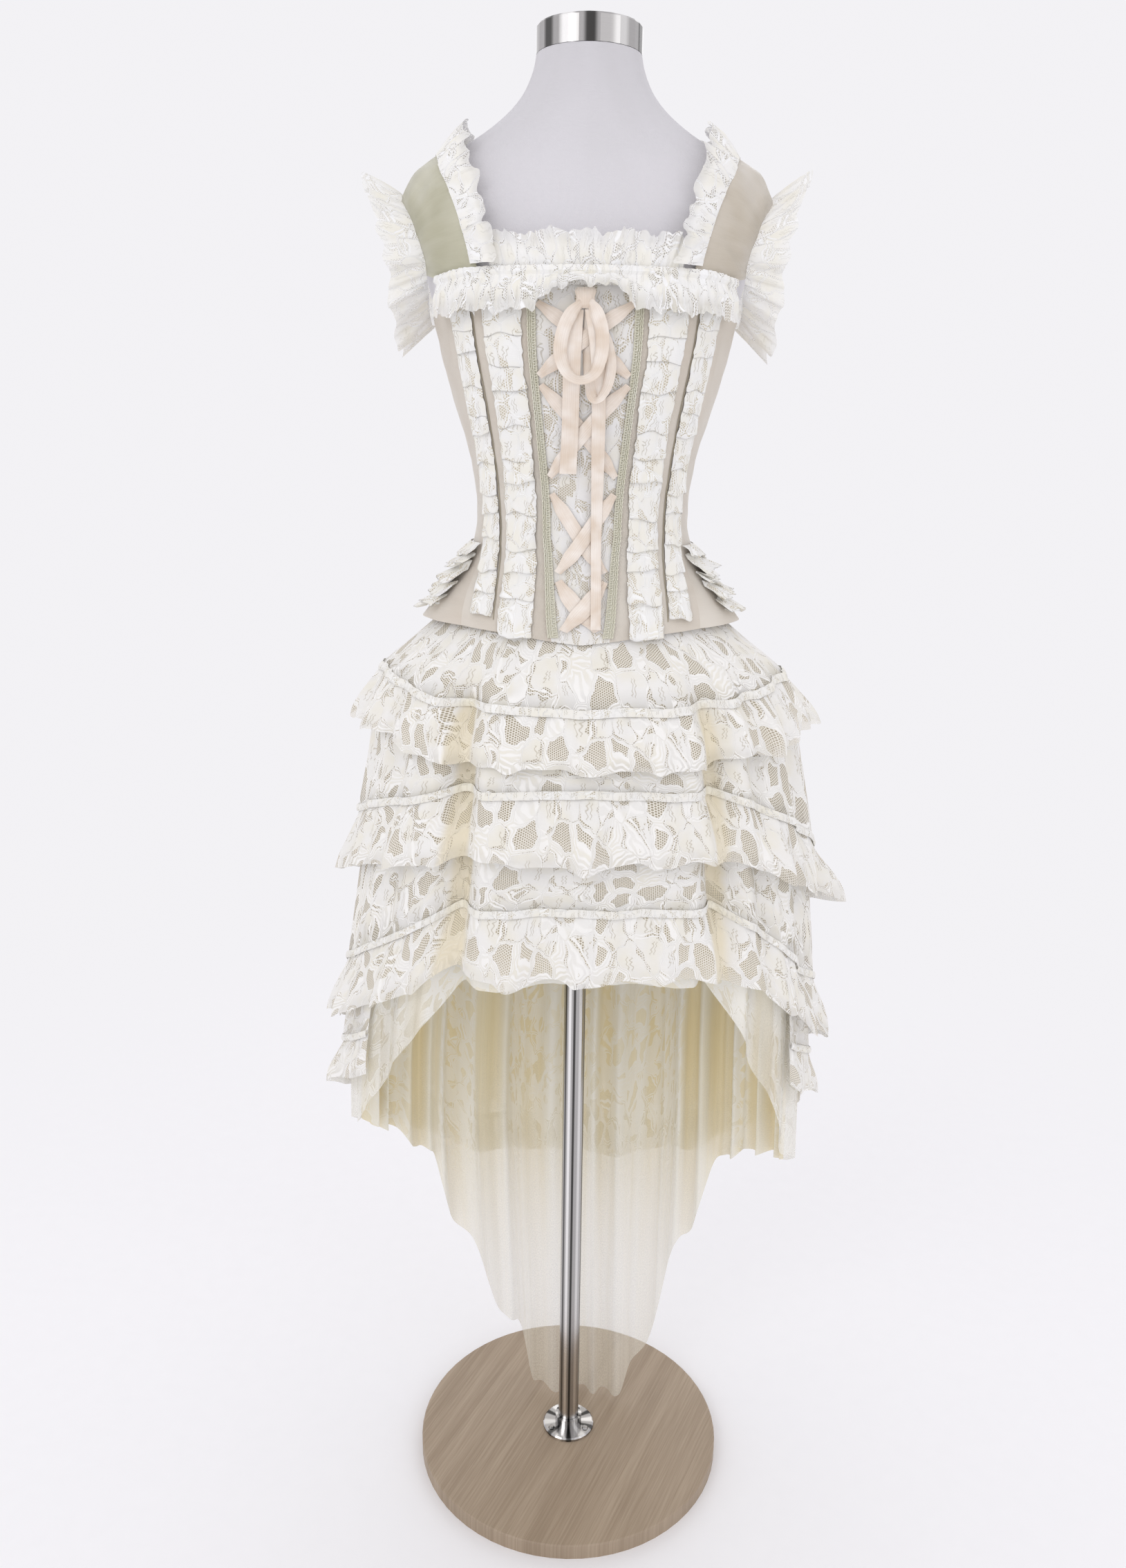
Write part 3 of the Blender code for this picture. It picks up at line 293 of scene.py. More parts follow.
def run_of(points):
    """Distance along each line of points, from its first one."""
    steps = np.linalg.norm(np.diff(points, axis=-2), axis=-1)
    return np.concatenate([np.zeros(steps.shape[:-1] + (1,)), np.cumsum(steps, axis=-1)], axis=-1)


def flat_map(points, along_row=-1):
    """Flat metres for a grid: along one of its rows, and down its middle column."""
    across = run_of(points[along_row])
    down = run_of(np.swapaxes(points, 0, 1)).mean(axis=0)
    return np.stack(np.meshgrid(across, down), axis=-1)


def join_grids(name, grids, materials):
    """One mesh from grids of (points, flat metres, material number, depth in the folds or none)."""
    points, faces, flats, spans, slots, deeps = [], [], [], [], [], []
    start = 0
    for grid, flat, slot, *deep in grids:
        rows, columns = grid.shape[:2]
        depth = np.broadcast_to(deep[0] if deep else 0.0, (rows, columns)).reshape(-1)
        deeps.append(np.stack([depth, depth], axis=-1))
        points.append(grid.reshape(-1, 3))
        flats.append(flat.reshape(-1, 2))
        share = np.stack(np.meshgrid(np.linspace(0, 1, columns), np.linspace(0, 1, rows)), axis=-1)
        spans.append(share.reshape(-1, 2))
        corner = np.arange(rows * columns).reshape(rows, columns) + start
        quads = np.stack([corner[:-1, :-1], corner[1:, :-1], corner[1:, 1:], corner[:-1, 1:]], axis=-1)
        faces.append(quads.reshape(-1, 4))
        slots.append(np.full(quads.shape[0] * quads.shape[1], slot))
        start += rows * columns
    points, faces = np.concatenate(points), np.concatenate(faces)
    mesh = bpy.data.meshes.new(name)
    mesh.from_pydata(points.tolist(), [], faces.tolist())
    # the deep layer carries fold depth, which the lace and tulle materials use as a mask for painted shade
    layers = (("flat", flats), ("span", spans), ("deep", deeps))
    for layer, values in ((name, np.concatenate(parts)) for name, parts in layers):
        uv = mesh.uv_layers.new(name=layer)
        uv.data.foreach_set("uv", values[faces.reshape(-1)].astype(np.float32).reshape(-1))
    mesh.polygons.foreach_set("material_index", np.concatenate(slots).astype(np.int32))
    for material in materials:
        mesh.materials.append(material)
    mesh.shade_smooth()
    made = bpy.data.objects.new(name, mesh)
    bpy.context.scene.collection.objects.link(made)
    return made


def dress(made, nodes):
    """Fix a piece to the form and hide the solids it stands for."""
    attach(made, "form")
    if nodes:
        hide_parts(*nodes)
    return made


def cloth(name, grids, materials, nodes):
    made = join_grids(name, grids, materials)
    return dress(made, nodes)


def tube(path, radius, sides=6):
    """A grid of points round a path, for a thin cord."""
    path = np.asarray(path, float)
    along = np.gradient(path, axis=0)
    along /= np.linalg.norm(along, axis=1)[:, None]
    aside = np.cross(along, np.array([0.3, -0.9, 0.31]))
    aside /= np.linalg.norm(aside, axis=1)[:, None]
    third = np.cross(along, aside)
    turn = np.linspace(0.0, 2.0 * math.pi, sides + 1)
    grid = path[None] + radius * (
        np.cos(turn)[:, None, None] * aside[None] + np.sin(turn)[:, None, None] * third[None]
    )
    return grid


class Shader:
    """A small helper that wires one material's nodes."""

    def __init__(self, name):
        self.material = bpy.data.materials.new(name)
        self.material.use_nodes = True
        self.tree = self.material.node_tree
        self.surface = self.tree.nodes["Principled BSDF"]

    def node(self, kind, **settings):
        made = self.tree.nodes.new(kind)
        for key, value in settings.items():
            setattr(made, key, value)
        return made

    def feed(self, socket, value):
        if isinstance(value, bpy.types.NodeSocket):
            self.tree.links.new(value, socket)
        elif isinstance(value, (tuple, list)) and len(value) == 3 and socket.type == "RGBA":
            socket.default_value = (*value, 1.0)
        else:
            socket.default_value = value

    def set(self, name, value):
        self.feed(self.surface.inputs[name], value)

    def math(self, operation, *values):
        made = self.node("ShaderNodeMath", operation=operation)
        for socket, value in zip(made.inputs, values):
            self.feed(socket, value)
        return made.outputs[0]

    def span(self, value, low, high, to_low=0.0, to_high=1.0):
        made = self.node("ShaderNodeMapRange", interpolation_type="SMOOTHSTEP")
        for key, number in (("Value", value), ("From Min", low), ("From Max", high),
                            ("To Min", to_low), ("To Max", to_high)):
            self.feed(made.inputs[key], number)
        return made.outputs[0]

    def mix(self, share, first, second):
        made = self.node("ShaderNodeMix", data_type="RGBA")
        for socket, value in ((made.inputs[0], share), (made.inputs[6], first), (made.inputs[7], second)):
            self.feed(socket, value)
        return made.outputs[2]

    def flat(self, name="flat"):
        return self.node("ShaderNodeUVMap", uv_map=name).outputs[0]

    def place(self):
        return self.node("ShaderNodeTexCoord").outputs["Object"]

    def scaled(self, vector, scale, offset=(0.0, 0.0, 0.0)):
        made = self.node("ShaderNodeMapping")
        self.feed(made.inputs["Vector"], vector)
        made.inputs["Scale"].default_value = scale
        made.inputs["Location"].default_value = offset
        return made.outputs[0]

    def noise(self, vector, scale, detail=2.0, rough=0.5, colour=False):
        made = self.node("ShaderNodeTexNoise")
        self.feed(made.inputs["Vector"], vector)
        made.inputs["Scale"].default_value = scale
        made.inputs["Detail"].default_value = detail
        made.inputs["Roughness"].default_value = rough
        return made.outputs["Color" if colour else "Fac"]

    def cells(self, vector, scale, feature="F1", output="Distance", chance=1.0):
        made = self.node("ShaderNodeTexVoronoi", feature=feature)
        self.feed(made.inputs["Vector"], vector)
        made.inputs["Scale"].default_value = scale
        made.inputs["Randomness"].default_value = chance
        return made.outputs[output]

    def parts(self, vector):
        made = self.node("ShaderNodeSeparateXYZ")
        self.feed(made.inputs[0], vector)
        return made.outputs

    def warp(self, vector, scale, amount):
        """Shift a vector by noise, in its own units."""
        shake = self.node("ShaderNodeVectorMath", operation="MULTIPLY_ADD")
        self.feed(shake.inputs[0], self.noise(vector, scale, 1.0, colour=True))
        shake.inputs[1].default_value = (2.0 * amount, 2.0 * amount, 0.0)
        shake.inputs[2].default_value = (-amount, -amount, 0.0)
        total = self.node("ShaderNodeVectorMath", operation="ADD")
        self.feed(total.inputs[0], vector)
        self.feed(total.inputs[1], shake.outputs[0])
        return total.outputs[0]

    def bump(self, height, distance, strength=1.0):
        made = self.node("ShaderNodeBump")
        made.inputs["Distance"].default_value = distance
        made.inputs["Strength"].default_value = strength
        self.feed(made.inputs["Height"], height)
        self.set("Normal", made.outputs[0])


def net(shader, flat, period):
    """1 on the threads of a fine net with six-sided holes, 0 in its holes."""
    x, y, _ = shader.parts(flat)
    turn = 2.0 * math.pi / period
    total = 0.0
    for east, north in ((1.0, 0.0), (0.5, 0.866), (-0.5, 0.866)):
        along = shader.math("MULTIPLY_ADD", y, north * turn, shader.math("MULTIPLY", x, east * turn))
        total = shader.math("ADD", shader.math("COSINE", along), total)
    return shader.span(total, 0.4, -0.5)


def invert(shader, value):
    return shader.math("SUBTRACT", 1.0, value)


def crackle(shader, bent, place):
    """Two short uneven upright gaps in the middle of each petal."""
    offset = shader.node("ShaderNodeVectorMath", operation="SUBTRACT")
    shader.feed(offset.inputs[0], bent)
    shader.feed(offset.inputs[1], place)
    x, y, _ = shader.parts(offset.outputs[0])
    swing = shader.math("MULTIPLY", shader.math("SINE", shader.math("MULTIPLY", y, 38.0)), 0.035)
    aside = shader.math("ABSOLUTE", shader.math("SUBTRACT", shader.math("ABSOLUTE", shader.math("ADD", x, swing)), 0.085))
    return shader.math("MULTIPLY", shader.span(aside, 0.030, 0.014), shader.span(shader.math("ABSOLUTE", y), 0.27, 0.20))


def lace_pattern(shader, flat, cell, net_share, gaps):
    """Masks of a raschel lace: open net, cord outlines and the gaps between a petal's threads."""
    scaled = shader.scaled(flat, (1.0 / cell, 0.76 / cell, 1.0))
    bent = shader.warp(scaled, 1.4, 0.34)
    edge = shader.cells(bent, 1.0, "DISTANCE_TO_EDGE", chance=0.85)
    kind = shader.parts(shader.cells(bent, 1.0, "F1", "Color", 0.85))[0]
    middle = shader.cells(bent, 1.0, "F1", "Position", 0.85)
    is_net = shader.math("LESS_THAN", kind, net_share)
    oval = shader.math("MULTIPLY", is_net, shader.span(edge, 0.10, 0.13))
    patch = shader.noise(scaled, 1.35, 1.0)
    between = shader.span(shader.math("SUBTRACT", shader.span(patch, 0.42, 0.72, 0.0, gaps), edge), 0.0, 0.012)
    between = shader.math("MULTIPLY", between, invert(shader, is_net))
    open_net = shader.math("MAXIMUM", oval, between)
    round_net = shader.math("MULTIPLY", is_net, shader.span(
        shader.math("ABSOLUTE", shader.math("SUBTRACT", edge, 0.105)), 0.034, 0.014))
    outline = shader.span(shader.math("ABSOLUTE", shader.math("SUBTRACT", edge, 0.034)), 0.022, 0.008)
    cord = shader.math("MAXIMUM", round_net, shader.math("MULTIPLY", outline, invert(shader, oval)))
    eyelets = shader.math("MULTIPLY", crackle(shader, bent, middle), invert(shader, is_net))
    thread = shader.noise(shader.scaled(flat, (160.0, 1100.0, 1.0)), 1.0, 2.0)
    return open_net, cord, eyelets, thread


def lace_material(name, cell=0.024, net_share=0.34, gaps=0.20, white=(0.90, 0.888, 0.862),
                  ground=(0.70, 0.61, 0.44), net_cover=0.5, sheer_hem=0.0, lines=0.5):
    """White raschel lace over tulle; the ground shows in its net, and in the deepest fold valleys the lace is painted a
    darker cream, partly the lining's colour and partly painted shade.
    """
    shader = Shader(name)
    flat = shader.flat()
    open_net, cord, eyelets, thread = lace_pattern(shader, flat, cell, net_share, gaps)
    mesh = net(shader, flat, 0.0022)
    cloudy = shader.noise(flat, 30.0, 2.0)
    petal = shader.mix(thread, tuple(0.94 * c for c in white), white)
    petal = shader.mix(shader.span(cloudy, 0.35, 0.7), petal, tuple(c * d for c, d in zip(white, (0.95, 0.93, 0.86))))
    petal = shader.mix(shader.math("MULTIPLY", eyelets, lines), petal, tuple(0.62 * c for c in ground))
    holes = shader.mix(mesh, tuple(0.80 * c for c in ground), tuple(0.65 * c + 0.35 * d for c, d in zip(white, ground)))
    tone = shader.mix(open_net, petal, holes)
    tone = shader.mix(cord, tone, tuple(min(1.04 * c, 0.95) for c in white))
    # painted shade: the lace is mixed towards a darker cream where the skirt's folds run deep
    deep = shader.parts(shader.flat("deep"))[0]
    valley_shade_cream = tuple(c * d for c, d in zip(ground, (1.19, 1.22, 1.24)))
    tone = shader.mix(shader.span(deep, 0.55, 0.95, 0.0, 0.7), tone, valley_shade_cream)
    shader.set("Base Color", tone)
    if net_cover < 1.0:
        cover = shader.math("MULTIPLY", open_net, 1.0 - net_cover)
        cover = invert(shader, shader.math("MULTIPLY", cover, invert(shader, mesh)))
        if sheer_hem:
            down = shader.parts(shader.flat("span"))[1]
            thin = shader.math("MULTIPLY", shader.span(down, 0.72, 1.0), invert(shader, cord))
            cover = shader.math("SUBTRACT", cover, shader.math("MULTIPLY", thin, sheer_hem))
        shader.set("Alpha", shader.math("MAXIMUM", cover, cord))
    shader.set("Roughness", 0.75)
    shader.set("Specular IOR Level", 0.2)
    raised = shader.math("MULTIPLY_ADD", cord, 0.9, shader.math("MULTIPLY", invert(shader, open_net), 0.7))
    raised = shader.math("SUBTRACT", raised, shader.math("MULTIPLY", eyelets, 0.6))
    shader.bump(shader.math("MULTIPLY_ADD", thread, 0.25, raised), 0.0003, 0.7)
    return shader.material


def tulle_material(name, colour, fold_shade, top_cover, hem_cover, from_height, to_height, motifs=0.0,
                   row_share=(0.46, 0.60)):
    """Fine tulle in several layers, thinning out downwards; lace shows through it in upright rows, and its fold valleys
    are painted a darker ochre as shade.
    """
    shader = Shader(name)
    flat = shader.flat()
    height = shader.parts(shader.place())[2]
    cover = shader.span(height, to_height, from_height, hem_cover, top_cover)
    thin = shader.span(height, to_height, from_height, 1.0, 0.0)
    grain = shader.noise(shader.scaled(flat, (600.0, 600.0, 1.0)), 1.0, 2.0)
    streak = shader.noise(shader.scaled(flat, (90.0, 4.0, 1.0)), 1.0, 2.0)
    # painted shade: the second colour fills the fold valleys, broken up by upright streaks
    deep = shader.parts(shader.flat("deep"))[0]
    share = shader.math("ADD", shader.math("MULTIPLY", deep, 0.75), shader.math("MULTIPLY", streak, 0.35))
    tone = shader.mix(shader.span(share, 0.15, 0.95), colour, fold_shade)
    pale = tuple(c * d for c, d in zip(colour, (0.97, 1.0, 1.14)))
    tone = shader.mix(shader.math("MULTIPLY", thin, 0.75), tone, pale)
    if motifs:
        rows = shader.span(shader.noise(shader.scaled(flat, (17.0, 1.2, 1.0), (3.7, 1.0, 0.0)), 1.0, 0.0), *row_share)
        open_net, cord, _, _ = lace_pattern(shader, flat, 0.022, 0.35, 0.36)
        petals = shader.math("MAXIMUM", shader.math("MULTIPLY", invert(shader, open_net), 0.75), cord)
        blurred = shader.math("MULTIPLY", shader.math("MULTIPLY", petals, rows), motifs)
        shown = shader.math("MULTIPLY", blurred, shader.span(height, 0.24, 0.42))
        tone = shader.mix(shown, tone, (0.90, 0.89, 0.84))
        cover = shader.math("MULTIPLY_ADD", shown, 0.30, cover)
    cover = shader.math("MULTIPLY_ADD", shader.math("SUBTRACT", grain, 0.5), 0.30, cover)
    cover = shader.math("MULTIPLY_ADD", shader.math("SUBTRACT", streak, 0.5), 0.30, cover)
    cover.node.use_clamp = True
    shader.set("Base Color", tone)
    shader.set("Alpha", cover)
    shader.set("Roughness", 0.7)
    shader.set("Sheen Weight", 0.1)
    shader.bump(shader.math("MULTIPLY_ADD", grain, 0.25, streak), 0.0010)
    return shader.material


def woven_material(name, colour, shade, roughness, weave=0.0005, sheen=0.2, crease=0.0, gloss=0.0, aside=None,
                   slubs=(30.0, 600.0, 1.0), tone_and_shade_blotches=(14.0, 5.0, 1.0)):
    """Satin, taffeta, jersey or ribbon: a fine weave, soft blotches mixing its colour with a painted shade colour,
    creases painted in shade and light as well as bumped, and a sheen.
    """
    shader = Shader(name)
    flat = shader.flat()
    x, y, _ = shader.parts(flat)
    turn = 2.0 * math.pi / weave
    warp = shader.math("SINE", shader.math("MULTIPLY", x, turn))
    weft = shader.math("SINE", shader.math("MULTIPLY", y, turn))
    grid = shader.math("MULTIPLY", warp, weft)
    cloudy = shader.noise(shader.scaled(flat, tone_and_shade_blotches), 1.0, 2.0)
    slub = shader.noise(shader.scaled(flat, slubs), 1.0, 2.0)
    share = shader.math("MULTIPLY_ADD", slub, 0.25, shader.span(cloudy, 0.30, 0.70, 0.0, 0.8))
    height = shader.math("MULTIPLY_ADD", grid, 0.10, shader.math("MULTIPLY", slub, 0.25))
    if crease:
        bent = shader.warp(shader.scaled(flat, (13.0, 30.0, 1.0)), 1.2, 0.6)
        wrinkles = shader.noise(bent, 1.0, 2.0)
        height = shader.math("MULTIPLY_ADD", wrinkles, crease, height)
        share = shader.math("MULTIPLY_ADD", shader.math("SUBTRACT", wrinkles, 0.5), 1.3, share)
    # painted shade: blotches, slubs and creases mix the colour towards the darker shade colour
    tone = shader.mix(share, shade, colour)
    if aside:
        side = shader.span(shader.parts(shader.place())[0], -0.06, 0.10)
        tone = shader.mix(side, tone, shader.mix(share, *aside))
    shader.set("Base Color", tone)
    shader.set("Roughness", shader.math("MULTIPLY_ADD", slub, 0.16, roughness - 0.08))
    shader.set("Sheen Weight", sheen)
    shader.set("Sheen Roughness", 0.4)
    if gloss:
        shader.set("Anisotropic", gloss)
        shader.set("Specular IOR Level", 0.8)
    shader.bump(height, 0.0003 if gloss else 0.0008)
    return shader.material


def steel_material(name):
    """Brushed steel with painted reflections: upright light and dark bands round its axis."""
    shader = Shader(name)
    place = shader.place()
    brush = shader.noise(shader.scaled(place, (3.0, 3.0, 1800.0)), 1.0, 3.0)
    x, y, _ = shader.parts(place)
    turn = shader.math("ARCTAN2", x, shader.math("MULTIPLY", y, -1.0))
    third = shader.math("WRAP", turn, -math.pi / 3.0, math.pi / 3.0)
    tone = (0.40, 0.39, 0.385)
    tone = shader.mix(brush, tone, tuple(1.22 * c for c in tone))
    # painted reflections: light and dark bands set by the angle round the axis
    for centre, half, colour in ((-0.42, 0.20, (0.90, 0.89, 0.88)), (0.02, 0.16, (0.07, 0.068, 0.066)),
                                 (0.62, 0.22, (0.72, 0.71, 0.70)), (-0.85, 0.16, (0.10, 0.098, 0.095))):
        near = shader.math("ABSOLUTE", shader.math("SUBTRACT", third, centre))
        tone = shader.mix(shader.span(near, half, 0.35 * half), tone, colour)
    shader.set("Metallic", 1.0)
    shader.set("Base Color", tone)
    shader.set("Roughness", shader.math("MULTIPLY_ADD", brush, 0.12, 0.16))
    shader.bump(brush, 0.00005, 0.4)
    return shader.material


def wood_material(name):
    """Taupe wood laminate: long grain across the foot, with fine pores."""
    shader = Shader(name)
    place = shader.place()
    turned = shader.node("ShaderNodeMapping")
    shader.feed(turned.inputs["Vector"], place)
    turned.inputs["Rotation"].default_value = (0.0, 0.0, math.radians(-66.0))
    grain = turned.outputs[0]
    long = shader.noise(shader.scaled(grain, (1.6, 34.0, 1.0)), 1.0, 4.0, 0.6)
    fine = shader.noise(shader.scaled(grain, (9.0, 420.0, 1.0)), 1.0, 3.0, 0.7)
    share = shader.math("MULTIPLY_ADD", fine, 0.55, shader.math("MULTIPLY", long, 0.6))
    shader.set("Base Color", shader.mix(shader.span(share, 0.35, 0.80), (0.29, 0.215, 0.145), (0.45, 0.355, 0.26)))
    shader.set("Roughness", shader.math("MULTIPLY_ADD", fine, 0.2, 0.38))
    shader.bump(fine, 0.0001, 0.5)
    return shader.material


def plastic_material(name):
    shader = Shader(name)
    grain = shader.noise(shader.place(), 2200.0, 1.0)
    shader.set("Base Color", shader.mix(grain, (0.012, 0.012, 0.013), (0.03, 0.03, 0.03)))
    shader.set("Roughness", shader.math("MULTIPLY_ADD", grain, 0.2, 0.35))
    shader.bump(grain, 0.00005)
    return shader.material


LACE = lace_material("white_lace", net_share=0.50, sheer_hem=0.25)
LACE_PANEL = lace_material("panel_lace", net_share=0.5, net_cover=0.35, sheer_hem=0.35)
LACE_FLAT = lace_material("lace_on_lining", 0.023, 0.06, 0.34, (0.86, 0.85, 0.84), (0.60, 0.53, 0.39), 1.0)
LACE_STRIP = lace_material("lace_strip", 0.021, 0.05, 0.24, (0.92, 0.915, 0.90), (0.72, 0.65, 0.50), 1.0)
LACE_EDGE = lace_material("edging_lace", 0.020, 0.10, 0.14, (0.94, 0.935, 0.92), (0.80, 0.76, 0.66), 0.6, 0.3, 0.2)
TAPE = lace_material("seam_tape", 0.010, 0.02, 0.16, (0.92, 0.91, 0.885), (0.76, 0.70, 0.56), 1.0)
# the second colour of each tulle is the painted shade in its fold valleys
TULLE_FRONT = tulle_material("lining_tulle", (0.87, 0.82, 0.67), (0.80, 0.70, 0.46), 1.1, 0.45, 0.72, 0.58, 0.9,
                             (0.20, 0.34))
TULLE_TRAIN = tulle_material("train_tulle", (0.86, 0.81, 0.65), (0.80, 0.69, 0.42), 1.05, 0.48, 0.55, 0.12, 0.6)
# painted shade and light: satin and taffeta creases and blotches darken towards the second colour, and the ribbon's
# long blotches run from a painted highlight to painted shade
SATIN = woven_material("bodice_satin", (0.86, 0.80, 0.71), (0.75, 0.67, 0.57), 0.38, sheen=0.3, crease=0.9)
TAFFETA = woven_material("strap_taffeta", (0.80, 0.78, 0.65), (0.50, 0.48, 0.33), 0.32, sheen=0.4, crease=2.6,
                         aside=((0.60, 0.53, 0.42), (0.86, 0.80, 0.72)))
RIBBON = woven_material("satin_ribbon", (0.95, 0.88, 0.81), (0.74, 0.60, 0.47), 0.27, sheen=0.2, gloss=0.4,
                        slubs=(900.0, 12.0, 1.0), tone_and_shade_blotches=(30.0, 42.0, 1.0))
COTTON = woven_material("loop_braid", (0.90, 0.88, 0.76), (0.80, 0.77, 0.60), 0.7)
SEAM = woven_material("dark_seam", (0.50, 0.44, 0.31), (0.42, 0.36, 0.25), 0.7)
JERSEY = woven_material("form_jersey", (0.73, 0.715, 0.745), (0.70, 0.685, 0.71), 0.8, 0.0012)
STEEL = steel_material("brushed_steel")
WOOD = wood_material("foot_wood")
PLASTIC = plastic_material("black_plastic")


def make_form():
    heights = np.linspace(FORM[0][0], FORM[-1][0], 150)[:, None]
    angles = np.linspace(-180.0, 180.0, 121)[None, :]
    points = form_points(angles, heights)
    centre = np.array([0.0, 0.0, FORM[-1][0]])
    inner = [centre + (points[-1:] - centre) * share for share in (0.97, 0.6, 0.1)]
    whole = np.concatenate([points] + inner)
    made = join_grids("form_torso_jersey", [(whole, flat_map(whole, 40), 0)], [JERSEY])
    dress(made, ["form_torso"])


def dress_stand():
    finish = {"base_disc": WOOD, "clamp_knob": PLASTIC}
    hard = ["base_disc", "base_flange", "base_screw_1", "base_screw_2", "base_screw_3",
            "pole_lower", "pole_upper", "clamp_knob", "neck_cap"]
    for name in hard:
        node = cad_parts[name]
        node.data.materials.clear()
        node.data.materials.append(finish.get(name, STEEL))


def seam(column, side=1.0):
    return lambda height: side * look(SEAMS, height, column)


def straight(angle):
    return lambda height: angle + 0.0 * height


def make_panel(name, left, right, material):
    rows, columns = 70, 14
    share = np.linspace(0.0, 1.0, columns)[None, :]
    middle = left(1.2) + (right(1.2) - left(1.2)) * share
    top = look(BODICE_EDGES, np.abs(wrap(middle)), 1)
    low = look(BODICE_EDGES, np.abs(wrap(middle)), 2)
    height = top + (low - top) * np.linspace(0.0, 1.0, rows)[:, None]
    angle = left(height) + (right(height) - left(height)) * share
    pull = 0.0004 * ripple(height * 160.0 + 9.0 * share, len(name)) * np.sin(math.pi * share)
    points = bodice_points(angle, height, BODICE_WALL + pull)
    cloth(f"{name}_cloth", [(points, flat_map(points, 10), 0)], [material], [name])


def make_bodice():
    make_panel("bodice_centre_front", seam(1, -1.0), seam(1), LACE_FLAT)
    for side, word in ((-1.0, "left"), (1.0, "right")):
        edges = (seam(1, side), seam(2, side), seam(3, side))
        edges += (straight(side * SIDE_SEAM), straight(side * BACK_SEAM), straight(side * CENTRE_BACK))
        names = ("side_front", "mid_front", "side", "side_back", "back")
        for name, near, far in zip(names, edges, edges[1:]):
            left, right = (near, far) if side > 0 else (far, near)
            make_panel(f"bodice_{name}_{word}", left, right, SATIN)


def degrees_across(angle, height, distance):
    points = bodice_points(angle, height)
    return np.degrees(distance / np.hypot(points[..., 0], points[..., 1]))


def make_strip(name, middle, width, ends, pleats, lift, seed, columns=30, seam_side=0.0, frill=0.0):
    """Box pleats of gathered lace: each opens downwards over the next one."""
    steps = 12
    top, low = ends
    share = np.linspace(-1.0, 1.0, columns)[None, :]
    rows = []
    pitch = (top - low) / pleats
    for pleat in range(pleats):
        for step in range(steps):
            t = step / (steps - 1.0)
            size = 1.0 + 0.25 * math.sin(2.7 * pleat + seed)
            fall = min(t / 0.88, 1.0)
            sag = pitch * fall * (1.0 + 0.18 * math.sin(1.9 * pleat + seed))
            out = lift(top - pitch * (pleat + 0.5)) * size * fall**0.8
            if t > 0.88:
                back = (t - 0.88) / 0.12
                out *= 1.0 - 0.9 * back
                sag -= 0.003 * back
            rows.append((top - pitch * pleat - sag, out, fall, pleat))
    table = np.array(rows)
    height, out, fall, pleat = (table[:, k][:, None] for k in range(4))
    wobble = ripple(share * 2.2 + pleat * 2.3, seed)
    pucker = ripple(share * 7.0 + pleat * 1.1, seed + 2.0)
    height = height + (0.0024 * wobble + frill * (0.0045 * wobble + 0.0020 * pucker)) * fall
    ruffled = 0.12 * pucker + frill * 0.30 * np.tanh(2.0 * ripple(share * 13.0 + pleat * 1.7, seed + 5.0))
    curl = 1.0 - (1.0 - frill) * 0.85 * np.abs(share) ** 6
    out = np.maximum(out * (1.0 + 0.30 * wobble + ruffled), 0.0) * curl + 0.0012 * curl + 0.0003 * pucker
    ragged = 1.0 + 0.05 * ripple(pleat * 2.0 + 3.0 * fall, seed)
    ragged = ragged + 0.05 * ripple(height * 420.0 + 2.0 * share, seed + 1.0) * np.abs(share)
    reach = degrees_across(middle(height), height, 0.5 * width(height) * ragged)
    points = bodice_points(middle(height) + share * reach, height, BODICE_WALL + 0.0015 + out)
    grids = [(points, flat_map(points, 6), 0)]
    if seam_side:
        line = np.linspace(top, low, 160)[:, None]
        edge = degrees_across(middle(line), line, 0.5 * width(line) + 0.0012)
        half = degrees_across(middle(line), line, 0.0004)
        stitched = middle(line) + seam_side * edge + np.array([[-1.0, 0.0, 1.0]]) * half
        seam_points = bodice_points(stitched, line, BODICE_WALL + np.array([[0.0006, 0.0014, 0.0006]]))
        grids.append((seam_points, flat_map(seam_points), 1))
    cloth(f"{name}_lace", grids, [LACE_STRIP, SEAM], [name])


def strip_lift(height):
    """How far a pleat stands out: nearly flat over the bust, more towards the waist."""
    return float(np.interp(height, (1.06, 1.20, 1.25, 1.30), (0.0042, 0.0038, 0.0018, 0.0010)))


def make_front_trim():
    heights = (1.03, 1.14, 1.35)
    for number, (side, word) in enumerate(((-1.0, "left"), (1.0, "right"))):
        def inner(height, side=side):
            angle = look(SEAMS, height, 1)
            return side * (angle + degrees_across(angle, height, 0.0225))

        def inner_width(height):
            return np.interp(height, heights, (0.024, 0.031, 0.035))

        def outer(height, side=side):
            angle = look(SEAMS, height, 1)
            reach = np.interp(height, heights, (0.054, 0.061, 0.074))
            return side * (angle + degrees_across(angle + 20.0, height, reach))

        def outer_width(height):
            return np.interp(height, heights, (0.021, 0.027, 0.035))

        make_strip(f"front_strip_inner_{word}", inner, inner_width, (1.354, 1.046), 11, strip_lift, 0.7 + number)
        make_strip(f"front_strip_outer_{word}", outer, outer_width, (1.354, 1.058), 12, strip_lift, 2.9 + number,
                   seam_side=-side)
        make_strip(f"hip_ruffle_{word}", straight(side * 82.0), straight(0.078), (1.130, 1.062), 5,
                   lambda height: 0.0115, 4.1 + number, 90, frill=1.0)
        make_braid(f"braid_{word}", side)


